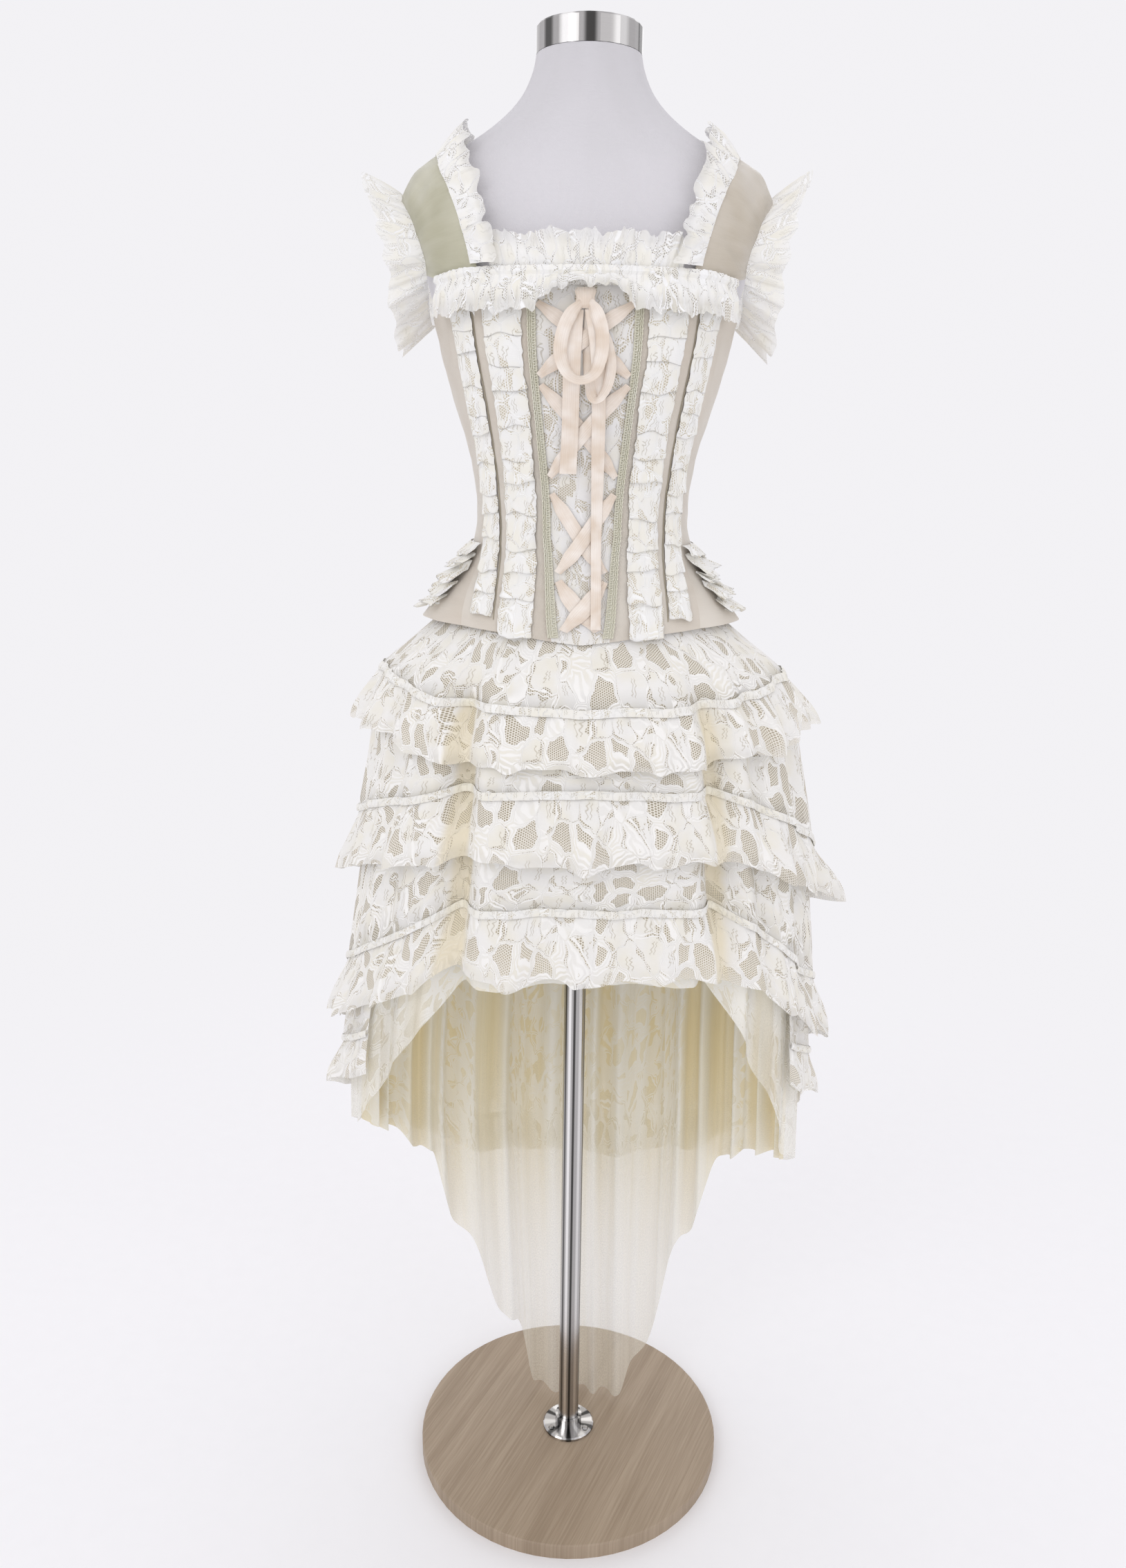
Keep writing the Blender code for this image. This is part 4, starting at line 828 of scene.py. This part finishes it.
def make_braid(name, side):
    """A double chained rib beside a row of square loops."""
    height = np.linspace(1.366, 1.043, 560)
    angle = look(SEAMS, height, 1)
    grids = []
    turn = 2.0 * math.pi * height / 0.0046
    square = np.tanh(4.0 * np.sin(turn))
    lines = ((0.0027 * side, 0.0002 * np.sin(turn), 0.00065), (0.0012 * side, 0.0002 * np.sin(turn + 1.5), 0.00055),
             (-0.0015 * side, 0.0012 * square, 0.0005), (-0.0028 * side, 0.0002 * np.sin(turn), 0.00045),
             (-0.0002 * side, 0.0002 * np.sin(turn), 0.00045))
    for offset, swing, radius in lines:
        out = BODICE_WALL + 0.0016 + radius + 0.0002 * np.cos(turn)
        where = side * (angle - 0.4 * degrees_across(angle, height, 0.00375))
        path = bodice_points(where + degrees_across(angle, height, offset + swing), height, out)
        grid = tube(path, radius * (1.0 + 0.2 * np.sin(2.0 * turn))[None, :, None])
        grids.append((grid, flat_map(grid, 0), 0))
    across = np.array([[-0.0033, 0.0, 0.0033]]) * np.ones((len(height), 1))
    tape = bodice_points(where[:, None] + degrees_across(angle[:, None], height[:, None], across),
                         height[:, None] + 0.0 * across, BODICE_WALL + 0.0014)
    grids.append((tape, flat_map(tape), 0))
    made = join_grids(f"{name}_cotton", grids, [COTTON])
    dress(made, [name])


def ribbon_grid(start, end, base, width, rows=46, columns=9, seed=0.0, pinch=0.5):
    """A ribbon on the bodice between two (angle, height), pinched where it goes into the braid."""
    share = np.linspace(0.0, 1.0, rows)[:, None]
    across = np.linspace(-1.0, 1.0, columns)[None, :]
    middle = bodice_points(0.0, 0.5 * (start[1] + end[1]))
    radius = math.hypot(middle[0], middle[1]) * 1.12
    run = (end[0] - start[0]) * math.radians(1.0) * radius
    drop = end[1] - start[1]
    length = math.hypot(run, drop)
    near = np.minimum(share, 1.0 - share) * length
    drawn = pinch + (1.0 - pinch) * smoothstep(near / 0.020)
    half = 0.5 * width * drawn * across
    angle = start[0] + (end[0] - start[0]) * share + np.degrees(-drop / length * half / radius)
    height = start[1] + drop * share + run / length * half
    crown = 0.0010 * (1.0 - across**2) + 0.0007 * ripple(across * 4.0 + share * 3.0, seed) * (1.3 - drawn)
    return bodice_points(angle, height, base + crown + 0.0005)


def make_lacing():
    under = BODICE_WALL + 0.0011
    over = under + 0.0019
    for number, (top, low) in enumerate(LACING, 1):
        spans = []
        for height in (top, low):
            angle = look(SEAMS, height - 0.0125, 1)
            spans.append(float(angle - degrees_across(angle, height, 0.0062)))
        for word, side, base in (("under", 1.0, under), ("over", -1.0, over)):
            points = ribbon_grid((-side * spans[0], top), (side * spans[1], low), base, 0.0128, seed=number)
            cloth(f"lacing_{number}_{word}_ribbon", [(points, flat_map(points, 20), 0)], [RIBBON],
                  [f"lacing_{number}_{word}"])


def path_ribbon(path, width, twist=0.0, columns=9, crown=0.0006, facing=(0.0, -1.0, 0.0), seed=0.0):
    """A ribbon along free points; its flat side faces a direction, turned by a twist at the end."""
    path = np.asarray(path, float)
    along = np.gradient(path, axis=0)
    along /= np.linalg.norm(along, axis=1)[:, None]
    facing = np.broadcast_to(np.asarray(facing, float), path.shape)
    aside = np.cross(along, facing)
    aside /= np.linalg.norm(aside, axis=1)[:, None]
    front = np.cross(aside, along)
    turn = np.linspace(0.0, 1.0, len(path))[:, None] * twist
    side = aside * np.cos(turn) + front * np.sin(turn)
    face = front * np.cos(turn) - aside * np.sin(turn)
    across = np.linspace(-0.5, 0.5, columns)
    bulge = crown * (1.0 - 4.0 * across**2) + 0.25 * crown * ripple(across * 9.0, seed)
    wide = np.broadcast_to(width, (len(path), 1))
    return path[:, None] + side[:, None] * (across[None] * wide)[..., None] + face[:, None] * bulge[None, :, None]


def spline(points, count):
    """A smooth line through points."""
    points = np.asarray(points, float)
    padded = np.concatenate([2 * points[:1] - points[1:2], points, 2 * points[-1:] - points[-2:-1]])
    place = np.linspace(0.0, len(points) - 1.0, count)
    number = np.minimum(place.astype(int), len(points) - 2)
    t = (place - number)[:, None]
    a, b, c, d = (padded[number + k] for k in range(4))
    return 0.5 * (2 * b + (c - a) * t + (2 * a - 5 * b + 4 * c - d) * t**2 + (3 * b - a - 3 * c + d) * t**3)


def make_bow():
    front = BODICE_WALL + 0.0051
    y = float(bodice_points(0.0, 1.356)[1])
    knot = []
    for height, reach, high in ((1.3466, 2.6, 0.002), (1.350, 3.4, 0.0048), (1.356, 3.0, 0.0062), (1.3615, 3.5, 0.0048),
                                (1.3648, 2.8, 0.002)):
        share = np.linspace(-1.0, 1.0, 17)
        knot.append(bodice_points(share * reach, np.full(17, height), front + high * (1.0 - 0.55 * share**2)
                                  + 0.0004 * ripple(share * 8.0, height * 90.0)))
    knot = spline(np.array(knot).reshape(5, -1), 24).reshape(24, 17, 3)
    cloth("bow_knot_ribbon", [(knot, flat_map(knot), 0)], [RIBBON], ["bow_knot"])
    loops = (
        ("left", ((-0.0020, 1.3530, 0.0105), (-0.0125, 1.3420, 0.0150), (-0.0200, 1.3260, 0.0175),
                  (-0.0222, 1.3070, 0.0190), (-0.0160, 1.2905, 0.0195), (-0.0035, 1.2840, 0.0190),
                  (0.0090, 1.2900, 0.0180), (0.0152, 1.3060, 0.0170), (0.0155, 1.3260, 0.0160),
                  (0.0105, 1.3430, 0.0140), (0.0045, 1.3530, 0.0115))),
        ("right", ((0.0030, 1.3530, 0.0090), (0.0100, 1.3380, 0.0110), (0.0200, 1.3200, 0.0125),
                   (0.0245, 1.3000, 0.0130), (0.0215, 1.2800, 0.0130), (0.0140, 1.2680, 0.0120),
                   (0.0075, 1.2700, 0.0100), (0.0040, 1.2900, 0.0090), (0.0025, 1.3200, 0.0085),
                   (0.0020, 1.3500, 0.0085))),
    )
    for word, line in loops:
        path = spline([(x, y - depth, z) for x, z, depth in line], 110)
        lean = np.linspace(0.0, math.pi, 110)[:, None]
        facing = np.concatenate([0.35 * np.cos(lean), -1.0 + 0.0 * lean, 0.95 * np.sin(lean) ** 2 + 0.1], axis=1)
        wide = 0.0125 if word == "left" else 0.0095
        width = wide * (0.5 + 0.5 * smoothstep(np.sin(lean) * 2.6))
        grid = path_ribbon(path, width, facing=facing, crown=0.0016, seed=len(word))
        cloth(f"bow_loop_{word}_ribbon", [(grid, flat_map(grid, 40), 0)], [RIBBON],
              [f"bow_loop_{word}"])
    for word, line, width in (
        ("left", ((-3.7, 1.3455), (-4.4, 1.310), (-5.5, 1.250), (-7.0, 1.200)), (0.0128, 0.0132, 0.0130)),
        ("right", ((2.8, 1.3455), (5.0, 1.300), (6.6, 1.220), (7.0, 1.140), (5.0, 1.052)), (0.0118, 0.0105, 0.0058)),
    ):
        width = np.interp(np.linspace(0.0, 1.0, 80), (0.0, 0.45, 1.0), width)
        line = spline([(a, z, 0.0) for a, z in line], 80)
        reach = degrees_across(line[:, 0], line[:, 1], 0.5 * width)
        across = np.linspace(-1.0, 1.0, 9)
        curl = 0.0007 * (1.0 - across[None] ** 2) + 0.0006 * ripple(line[:, 1:2] * 55.0, 900.0 * width[0])
        curl = curl + 0.0006 * across[None] * np.sin(line[:, 1:2] * 42.0)
        points = bodice_points(line[:, :1] + across[None] * reach[:, None], line[:, 1:2] + 0.0 * across[None],
                               front + 0.0006 + curl)
        cloth(f"bow_tail_{word}_ribbon", [(points, flat_map(points, 40), 0)], [RIBBON],
              [f"bow_tail_{word}"])


def tier_grids(tier, seed, columns, count):
    """A tier's smooth band, its gathered ruffle and the tape over the seam between them."""
    _, number, top, out_top, out_seam, out_hem, left, right, ruffle = tier
    place = np.linspace(0.0, len(columns) - 1.0, count)[None, :]
    angle = np.interp(place, np.arange(len(columns)), columns)
    crests = wave(place, seed)
    low = hem(angle, number)
    arc = np.radians(angle) * 0.22
    share = np.linspace(0.0, 1.0, 30)[:, None]
    height = top + (low + ruffle - top) * share
    bow = 2.0 if top > FOLD_TOP else 1.0
    out = out_top + (out_seam - out_top) * share**bow
    out = out + 0.0012 * (1.0 + ripple(arc * 150.0, seed)) * share**2
    out = out + 0.0016 * (1.0 + ripple(arc * 60.0 + share * 1.5, seed + 4.0)) * share * (1.4 - share)
    band = skirt_points(angle, height, out)
    band_deep = -fold(angle, height) / 0.028
    share = np.linspace(0.0, 1.0, 38)[:, None]
    size = 0.5 * (left + right) + 0.5 * (right - left) * np.sin(np.radians(angle))
    drape = smoothstep(share * 1.15) ** 0.8
    uneven = 0.0035 * ripple(arc * 34.0, seed + 1.0) + 0.0018 * ripple(arc * 120.0, seed)
    height = low + ruffle * (1.0 - share) - 0.004 * share * crests + uneven * share**2
    gather = (1.0 + ripple(arc * 330.0, seed + 2.0)) * 0.0011 * (1.0 - share) ** 0.7
    middle = (1.0 + ripple(arc * 135.0 + 1.5 * share, seed + 3.0)) * 0.0034 * share**0.8
    out = out_seam + (out_hem - out_seam) * share + crests * size * drape + gather + middle - 0.0010
    lean = np.degrees(0.0045 * share * np.sin(math.pi * place * 2.0 / COLUMNS_PER_WAVE + 0.8) / 0.22)
    frill = skirt_points(angle + lean, height, out)
    frill_deep = -fold(angle, height) / 0.028
    share = np.linspace(-1.0, 1.0, 5)[:, None]
    rise = 0.0010 * ripple(arc * 46.0, seed + 5.0)
    height = low + ruffle + rise - 0.0042 * share
    out = out_seam + 0.0024 + 0.0010 * (1.0 - share**2) + 0.0006 * ripple(arc * 330.0, seed + 2.0)
    out = out + 0.0012 * (1.0 + ripple(arc * 150.0, seed)) * 0.8
    tape = skirt_points(angle, height, out)
    tape_deep = -fold(angle, height) / 0.028
    # the fold depths go into the deep layer, where the lace paints the deepest valleys darker as shade
    return [(band, flat_map(band), 0, band_deep), (frill, flat_map(frill), 0, frill_deep),
            (tape, flat_map(tape), 1, tape_deep)]


def make_skirt():
    front = skirt_columns(-SIDE_SEAM, SIDE_SEAM, FRONT_WAVES)
    back = skirt_columns(SIDE_SEAM, 360.0 - SIDE_SEAM, BACK_WAVES)
    for seed, tier in enumerate(TIERS):
        for word, columns, start in (("front", front, 1.0 + 1.7 * seed), ("back", back, 2.5 + 1.3 * seed)):
            grids = tier_grids(tier, start, columns, 390 if word == "front" else 310)
            cloth(f"{tier[0]}_{word}_lace", grids, [LACE, TAPE], [f"{tier[0]}_{word}"])
    around = [angle for angle in front if angle > BACK_PANEL_EDGE] + list(back[1:])
    around += [angle + 360.0 for angle in front[1:] if angle < -BACK_PANEL_EDGE]
    panel = ("back_panel", 4, BACK_PANEL_TOP, 0.0032, 0.0078, 0.0101, 0.014, 0.014, 0.050)
    cloth("back_panel_lace", tier_grids(panel, 0.4, np.array(around), 370), [LACE_PANEL, TAPE],
          ["back_panel"])
    make_lining("lining_front", front, 300, 0.0, TULLE_FRONT)
    make_lining("lining_train", back, 580, 1.0, TULLE_TRAIN)


def make_lining(name, columns, count, train, material):
    """The tulle lining; the train hangs in upright folds and its hem goes down in steps."""
    place = np.linspace(0.0, len(columns) - 1.0, count)[None, :]
    angle = np.interp(place, np.arange(len(columns)), columns)
    step_width = 14.0
    stepped = angle + train * 0.85 * step_width / (2.0 * math.pi) * np.sin(2.0 * math.pi * (angle - 180.0) / step_width)
    low = hem(stepped, 5)
    share = np.linspace(0.0, 1.0, 110)[:, None]
    height = 1.07 + (low - 1.07) * share
    grown = smoothstep((LINING_WAVE_TOP + 0.1 - height) / 0.25)
    arc = np.radians(angle) * 0.22
    phase = 0.5 - 0.5 * ripple(arc * 135.0, 2.0)
    deep = (0.35 + 0.65 * smoothstep(phase)) * phase
    out = -0.019 * grown * deep * train
    out = out + (0.0012 * ripple(arc * 170.0 + 2.0 * share, 1.3) - 0.0012) * smoothstep((1.0 - height) / 0.2)
    height = height + 0.004 * ripple(arc * 40.0, 2.0) * share**3
    points = skirt_points(angle, height, out)
    # painted shade mask: the tulle colours these parts of the train's folds a darker ochre, most where they lie
    # farthest out
    fold_shade_mask = (1.0 - deep) * grown * train
    cloth(f"{name}_tulle", [(points, flat_map(points, 70), 0, fold_shade_mask)], [material], [name])


def shoulder_tree():
    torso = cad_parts["form_torso"].data
    corners = [vertex.co.copy() for vertex in torso.vertices]
    return BVHTree.FromPolygons(corners, [tuple(face.vertices) for face in torso.polygons])


def shoulder_point(tree, side, around, tilt, out):
    centre = Vector((side * STRAP_CENTRE[0], STRAP_CENTRE[1], STRAP_CENTRE[2]))
    turn, lean = math.radians(around), math.radians(tilt)
    heading = Vector(
        (side * math.sin(lean), -math.cos(lean) * math.cos(turn), math.cos(lean) * math.sin(turn))
    )
    place, normal, *_ = tree.ray_cast(centre, heading)
    return np.array(place + (normal + heading).normalized() * out)


def upsample(grid, rows, columns):
    """A finer grid on smooth lines through a coarse one."""
    grid = np.asarray(grid, float)
    tall = spline(grid.reshape(grid.shape[0], -1), rows).reshape(rows, grid.shape[1], 3)
    wide = spline(tall.swapaxes(0, 1).reshape(grid.shape[1], -1), columns)
    return wide.reshape(columns, rows, 3).swapaxes(0, 1)


def lifted(grid, amount):
    """Move a grid's points along its normals."""
    down = np.gradient(grid, axis=0)
    along = np.gradient(grid, axis=1)
    normal = np.cross(along, down)
    normal /= np.maximum(np.linalg.norm(normal, axis=-1), 1e-12)[..., None]
    return grid + normal * amount[..., None]


def make_straps():
    tree = shoulder_tree()
    for side, word in ((-1.0, "left"), (1.0, "right")):
        coarse = []
        for around in np.linspace(STRAP[0][0] - 4.0, STRAP[-1][0], 17):
            inner, outer = look(STRAP, around, 1), look(STRAP, around, 2)
            row = [inner + (outer - inner) * column / 4.0 for column in range(5)]
            coarse.append([shoulder_point(tree, side, around, tilt, STRAP_STAND_OFF + STRAP_WALL) for tilt in row])
        grid = upsample(coarse, 150, 44)
        down = np.linspace(0.0, 1.0, 150)[:, None]
        across = np.linspace(0.0, 1.0, 44)[None, :]
        edge = np.minimum(smoothstep(across / 0.15), smoothstep((1.0 - across) / 0.15))
        creases = ripple(down * 34.0 + 4.0 * across * (1.0 + 0.5 * side), 1.0 + side) * 0.0008
        creases = creases * (1.0 + 0.8 * ripple(across * 5.0 + 9.0 * down, 3.0 + side))
        creases = creases + ripple(down * 75.0 - 8.0 * across, 2.0 + side) * 0.0003
        grid = lifted(grid, side * creases * edge)
        cloth(f"strap_{word}_taffeta", [(grid, flat_map(grid, 60), 0)], [TAFFETA],
              [f"strap_{word}"])
        make_neck_ruffle(tree, side, word)
        make_armhole_ruffle(tree, side, word)


def make_neck_ruffle(tree, side, word):
    base, count = STRAP_STAND_OFF + STRAP_WALL + 0.0012, 380
    place = np.linspace(0.0, 20.0, count)
    rows = []
    for reach, lift in ((4.0, 0.0), (0.5, 0.0010), (-3.5, 0.0024), (-8.5, 0.0040), (-14.0, 0.0052)):
        row = []
        for column in place:
            around = -5.0 + 183.0 * column / 20.0
            share = (4.0 - reach) / 18.0
            ragged = 2.2 * share * float(ripple(column * 3.1, 2.0 + side))
            tilt = float(look(STRAP, around, 1)) + reach + ragged
            out = base + lift + 0.007 * float(wave(column, 0.9)) * min(1.6 * share, 1.0)
            out += 0.0030 * share * (1.0 + float(np.tanh(2.0 * ripple(column * 3.4 + 2.0 * share, 1.0 + side))))
            around += 1.6 * share * float(ripple(column * 2.6, 4.0 + side))
            row.append(shoulder_point(tree, side, around, tilt, out))
        rows.append(row)
    grid = upsample(rows, 26, count)
    cloth(f"neck_ruffle_{word}_lace", [(grid, flat_map(grid), 0)], [LACE_EDGE],
          [f"neck_ruffle_{word}"])


def make_armhole_ruffle(tree, side, word):
    waves, count = 9, 541
    rise = 0.35 if side > 0 else 0.10
    rows = []
    for reach in np.linspace(0.0, 1.0, 14):
        row = []
        for column in np.linspace(0.0, waves * COLUMNS_PER_WAVE, count):
            around = -90.0 + 10.0 * column
            root = shoulder_point(tree, side, around, float(look(ARMHOLE, around, 1)), 0.0068)
            turn = math.radians(around)
            away = np.array([0.0, -math.cos(turn), math.sin(turn)])
            up = 0.5 + 0.5 * math.sin(turn)
            lean = np.array([side, 0.0, -0.45 + (0.45 + rise) * up])
            lean /= np.linalg.norm(lean)
            swing = 0.004 * reach + 0.011 * reach * float(wave(column % 36.0, 0.3 + side))
            turned = 2.0 * math.pi * column / 36.0
            box = math.tanh(1.6 * math.sin(19.0 * turned + 1.8 * math.sin(5.0 * turned) + 0.9 * reach))
            swing += 0.0034 * reach**0.7 * (1.0 + box)
            length = 0.036 * reach * (1.0 + 0.06 * reach * math.sin(13.0 * turned + 2.0 * math.sin(3.0 * turned)))
            row.append(root + lean * length + away * swing)
        rows.append(row)
    grid = np.array(rows)
    cloth(f"armhole_ruffle_{word}_lace", [(grid, flat_map(grid), 0)], [LACE_EDGE],
          [f"armhole_ruffle_{word}"])


def make_top_ruffles():
    """One falls over the panels from a rolled heading, one stands up along the neck."""
    over = STRAP_STAND_OFF + STRAP_WALL - BODICE_EASE + 0.0012
    low = BODICE_WALL + 0.0014
    heading = ((1.3850, over, 0.25, 0.0), (1.3800, over + 0.0030, 0.0, 0.0), (1.3770, over + 0.0006, 0.0, 0.0),
               (1.3650, over + 0.0060, 0.6, 0.5), (1.3440, over + 0.0080, 1.0, 1.0))
    standing = ((1.3675, low, 0.0, 0.0), (1.3860, low, 0.15, 0.0), (1.4135, low + 0.0035, 1.0, 1.0))
    for name, reach, waves, spans in (("top_ruffle", 62.0, 11, heading), ("neck_ruffle_front", 33.0, 5, standing)):
        knots = np.linspace(0.0, 1.0, len(spans))
        count, tall = (520, 46) if name == "top_ruffle" else (380, 30)
        place = np.linspace(0.0, waves * COLUMNS_PER_WAVE, count)[None, :]
        angle = -reach + 2.0 * reach * place / (waves * COLUMNS_PER_WAVE)
        step = np.linspace(0.0, 1.0, tall)[:, None]
        height, out, frill, share = (np.interp(step, knots, [row[k] for row in spans]) for k in range(4))
        drawn = 1.0 - smoothstep((np.abs(angle) - 6.0) / 14.0)
        if name == "top_ruffle":
            height = height + 0.0225 * share * drawn + look(BODICE_EDGES, np.abs(angle), 1) - TOP_EDGE
        height = height + 0.0035 * share * ripple(place * 1.7, 3.0) + 0.0016 * frill * ripple(place * 6.1, 4.0)
        box = np.tanh(1.8 * ripple(place * 1.9 + 0.5 * step, 7.0))
        fine = 0.0017 * (1.0 + box) * frill + 0.0009 * (1.0 + ripple(place * 3.4 + 2.0 * step, 5.0)) * frill
        fine = fine + 0.0003 * (1.0 + ripple(place * 7.0, 6.0)) * (1.0 - 0.6 * share)
        fine = fine + 0.0030 * frill * drawn * (1.0 + ripple(place * 2.9 + 3.0 * step, 8.0))
        swing = 0.008 * share * wave(place, 1.2)
        lean = np.degrees(0.003 * frill * ripple(place * 2.3 + step, 2.0) / 0.13)
        points = bodice_points(angle + lean, height, out + swing + fine)
        cloth(f"{name}_lace", [(points, flat_map(points), 0)], [LACE_EDGE], [name])


def make_camera():
    data = bpy.data.cameras.new("camera")
    data.sensor_width = 36.0
    data.lens = 28.70
    data.dof.use_dof = False
    made = bpy.data.objects.new("camera", data)
    bpy.context.scene.collection.objects.link(made)
    pitch, yaw, roll = -0.2659, -0.0125, 0.0121
    ahead = Vector((math.sin(yaw) * math.cos(pitch), math.cos(yaw) * math.cos(pitch), math.sin(pitch)))
    level = Vector((math.cos(yaw), -math.sin(yaw), 0.0))
    up = level.cross(ahead)
    right = level * math.cos(roll) + up * math.sin(roll)
    above = up * math.cos(roll) - level * math.sin(roll)
    turned = Matrix((right, above, -ahead)).transposed().to_4x4()
    turned.translation = Vector((0.0, -1.3298, 1.2281))
    made.matrix_world = turned
    bpy.context.scene.camera = made


def make_light(name, place, target, size, power, colour=(1.0, 1.0, 1.0)):
    data = bpy.data.lights.new(name, "AREA")
    data.shape = "RECTANGLE"
    data.size, data.size_y = size
    data.energy = power
    data.color = colour
    made = bpy.data.objects.new(name, data)
    made.location = place
    made.rotation_euler = (Vector(target) - Vector(place)).to_track_quat("-Z", "Y").to_euler()
    bpy.context.scene.collection.objects.link(made)


def make_studio():
    world = bpy.data.worlds.new("studio")
    world.use_nodes = True
    backdrop = (0.895, 0.885, 0.91, 1.0)
    world.node_tree.nodes["Background"].inputs["Color"].default_value = backdrop
    world.node_tree.nodes["Background"].inputs["Strength"].default_value = 1.0
    bpy.context.scene.world = world
    mesh = bpy.data.meshes.new("floor")
    size = 40.0
    mesh.from_pydata([(-size, -size, 0.0), (size, -size, 0.0), (size, size, 0.0), (-size, size, 0.0)], [], [(0, 1, 2, 3)])
    floor = bpy.data.objects.new("floor", mesh)
    bpy.context.scene.collection.objects.link(floor)
    shader = Shader("floor_paint")
    speck = shader.noise(shader.place(), 40.0)
    reach = shader.node("ShaderNodeVectorMath", operation="LENGTH")
    shader.feed(reach.inputs[0], shader.place())
    far = shader.span(reach.outputs["Value"], 0.5, 2.2)
    paper = shader.mix(speck, (0.93, 0.925, 0.94), (0.95, 0.945, 0.96))
    shader.set("Base Color", shader.mix(far, paper, (0.0, 0.0, 0.0)))
    shader.set("Emission Color", shader.mix(far, (0.0, 0.0, 0.0), backdrop[:3]))
    shader.set("Emission Strength", 1.0)
    shader.set("Specular IOR Level", 0.0)
    shader.set("Roughness", 0.9)
    floor.data.materials.append(shader.material)
    make_light("key", (-1.6, -2.2, 2.7), (0.0, 0.0, 1.0), (1.6, 1.6), 11.0)
    make_light("fill", (2.0, -1.8, 1.8), (0.0, 0.0, 0.9), (1.6, 2.0), 4.0)
    make_light("back", (0.4, 2.2, 2.4), (0.0, 0.0, 0.9), (2.0, 1.4), 5.0)
    bpy.context.scene.view_settings.view_transform = "Standard"


def main():
    make_camera()
    make_studio()
    make_form()
    dress_stand()
    make_bodice()
    make_front_trim()
    make_lacing()
    make_bow()
    make_skirt()
    make_straps()
    make_top_ruffles()


main()
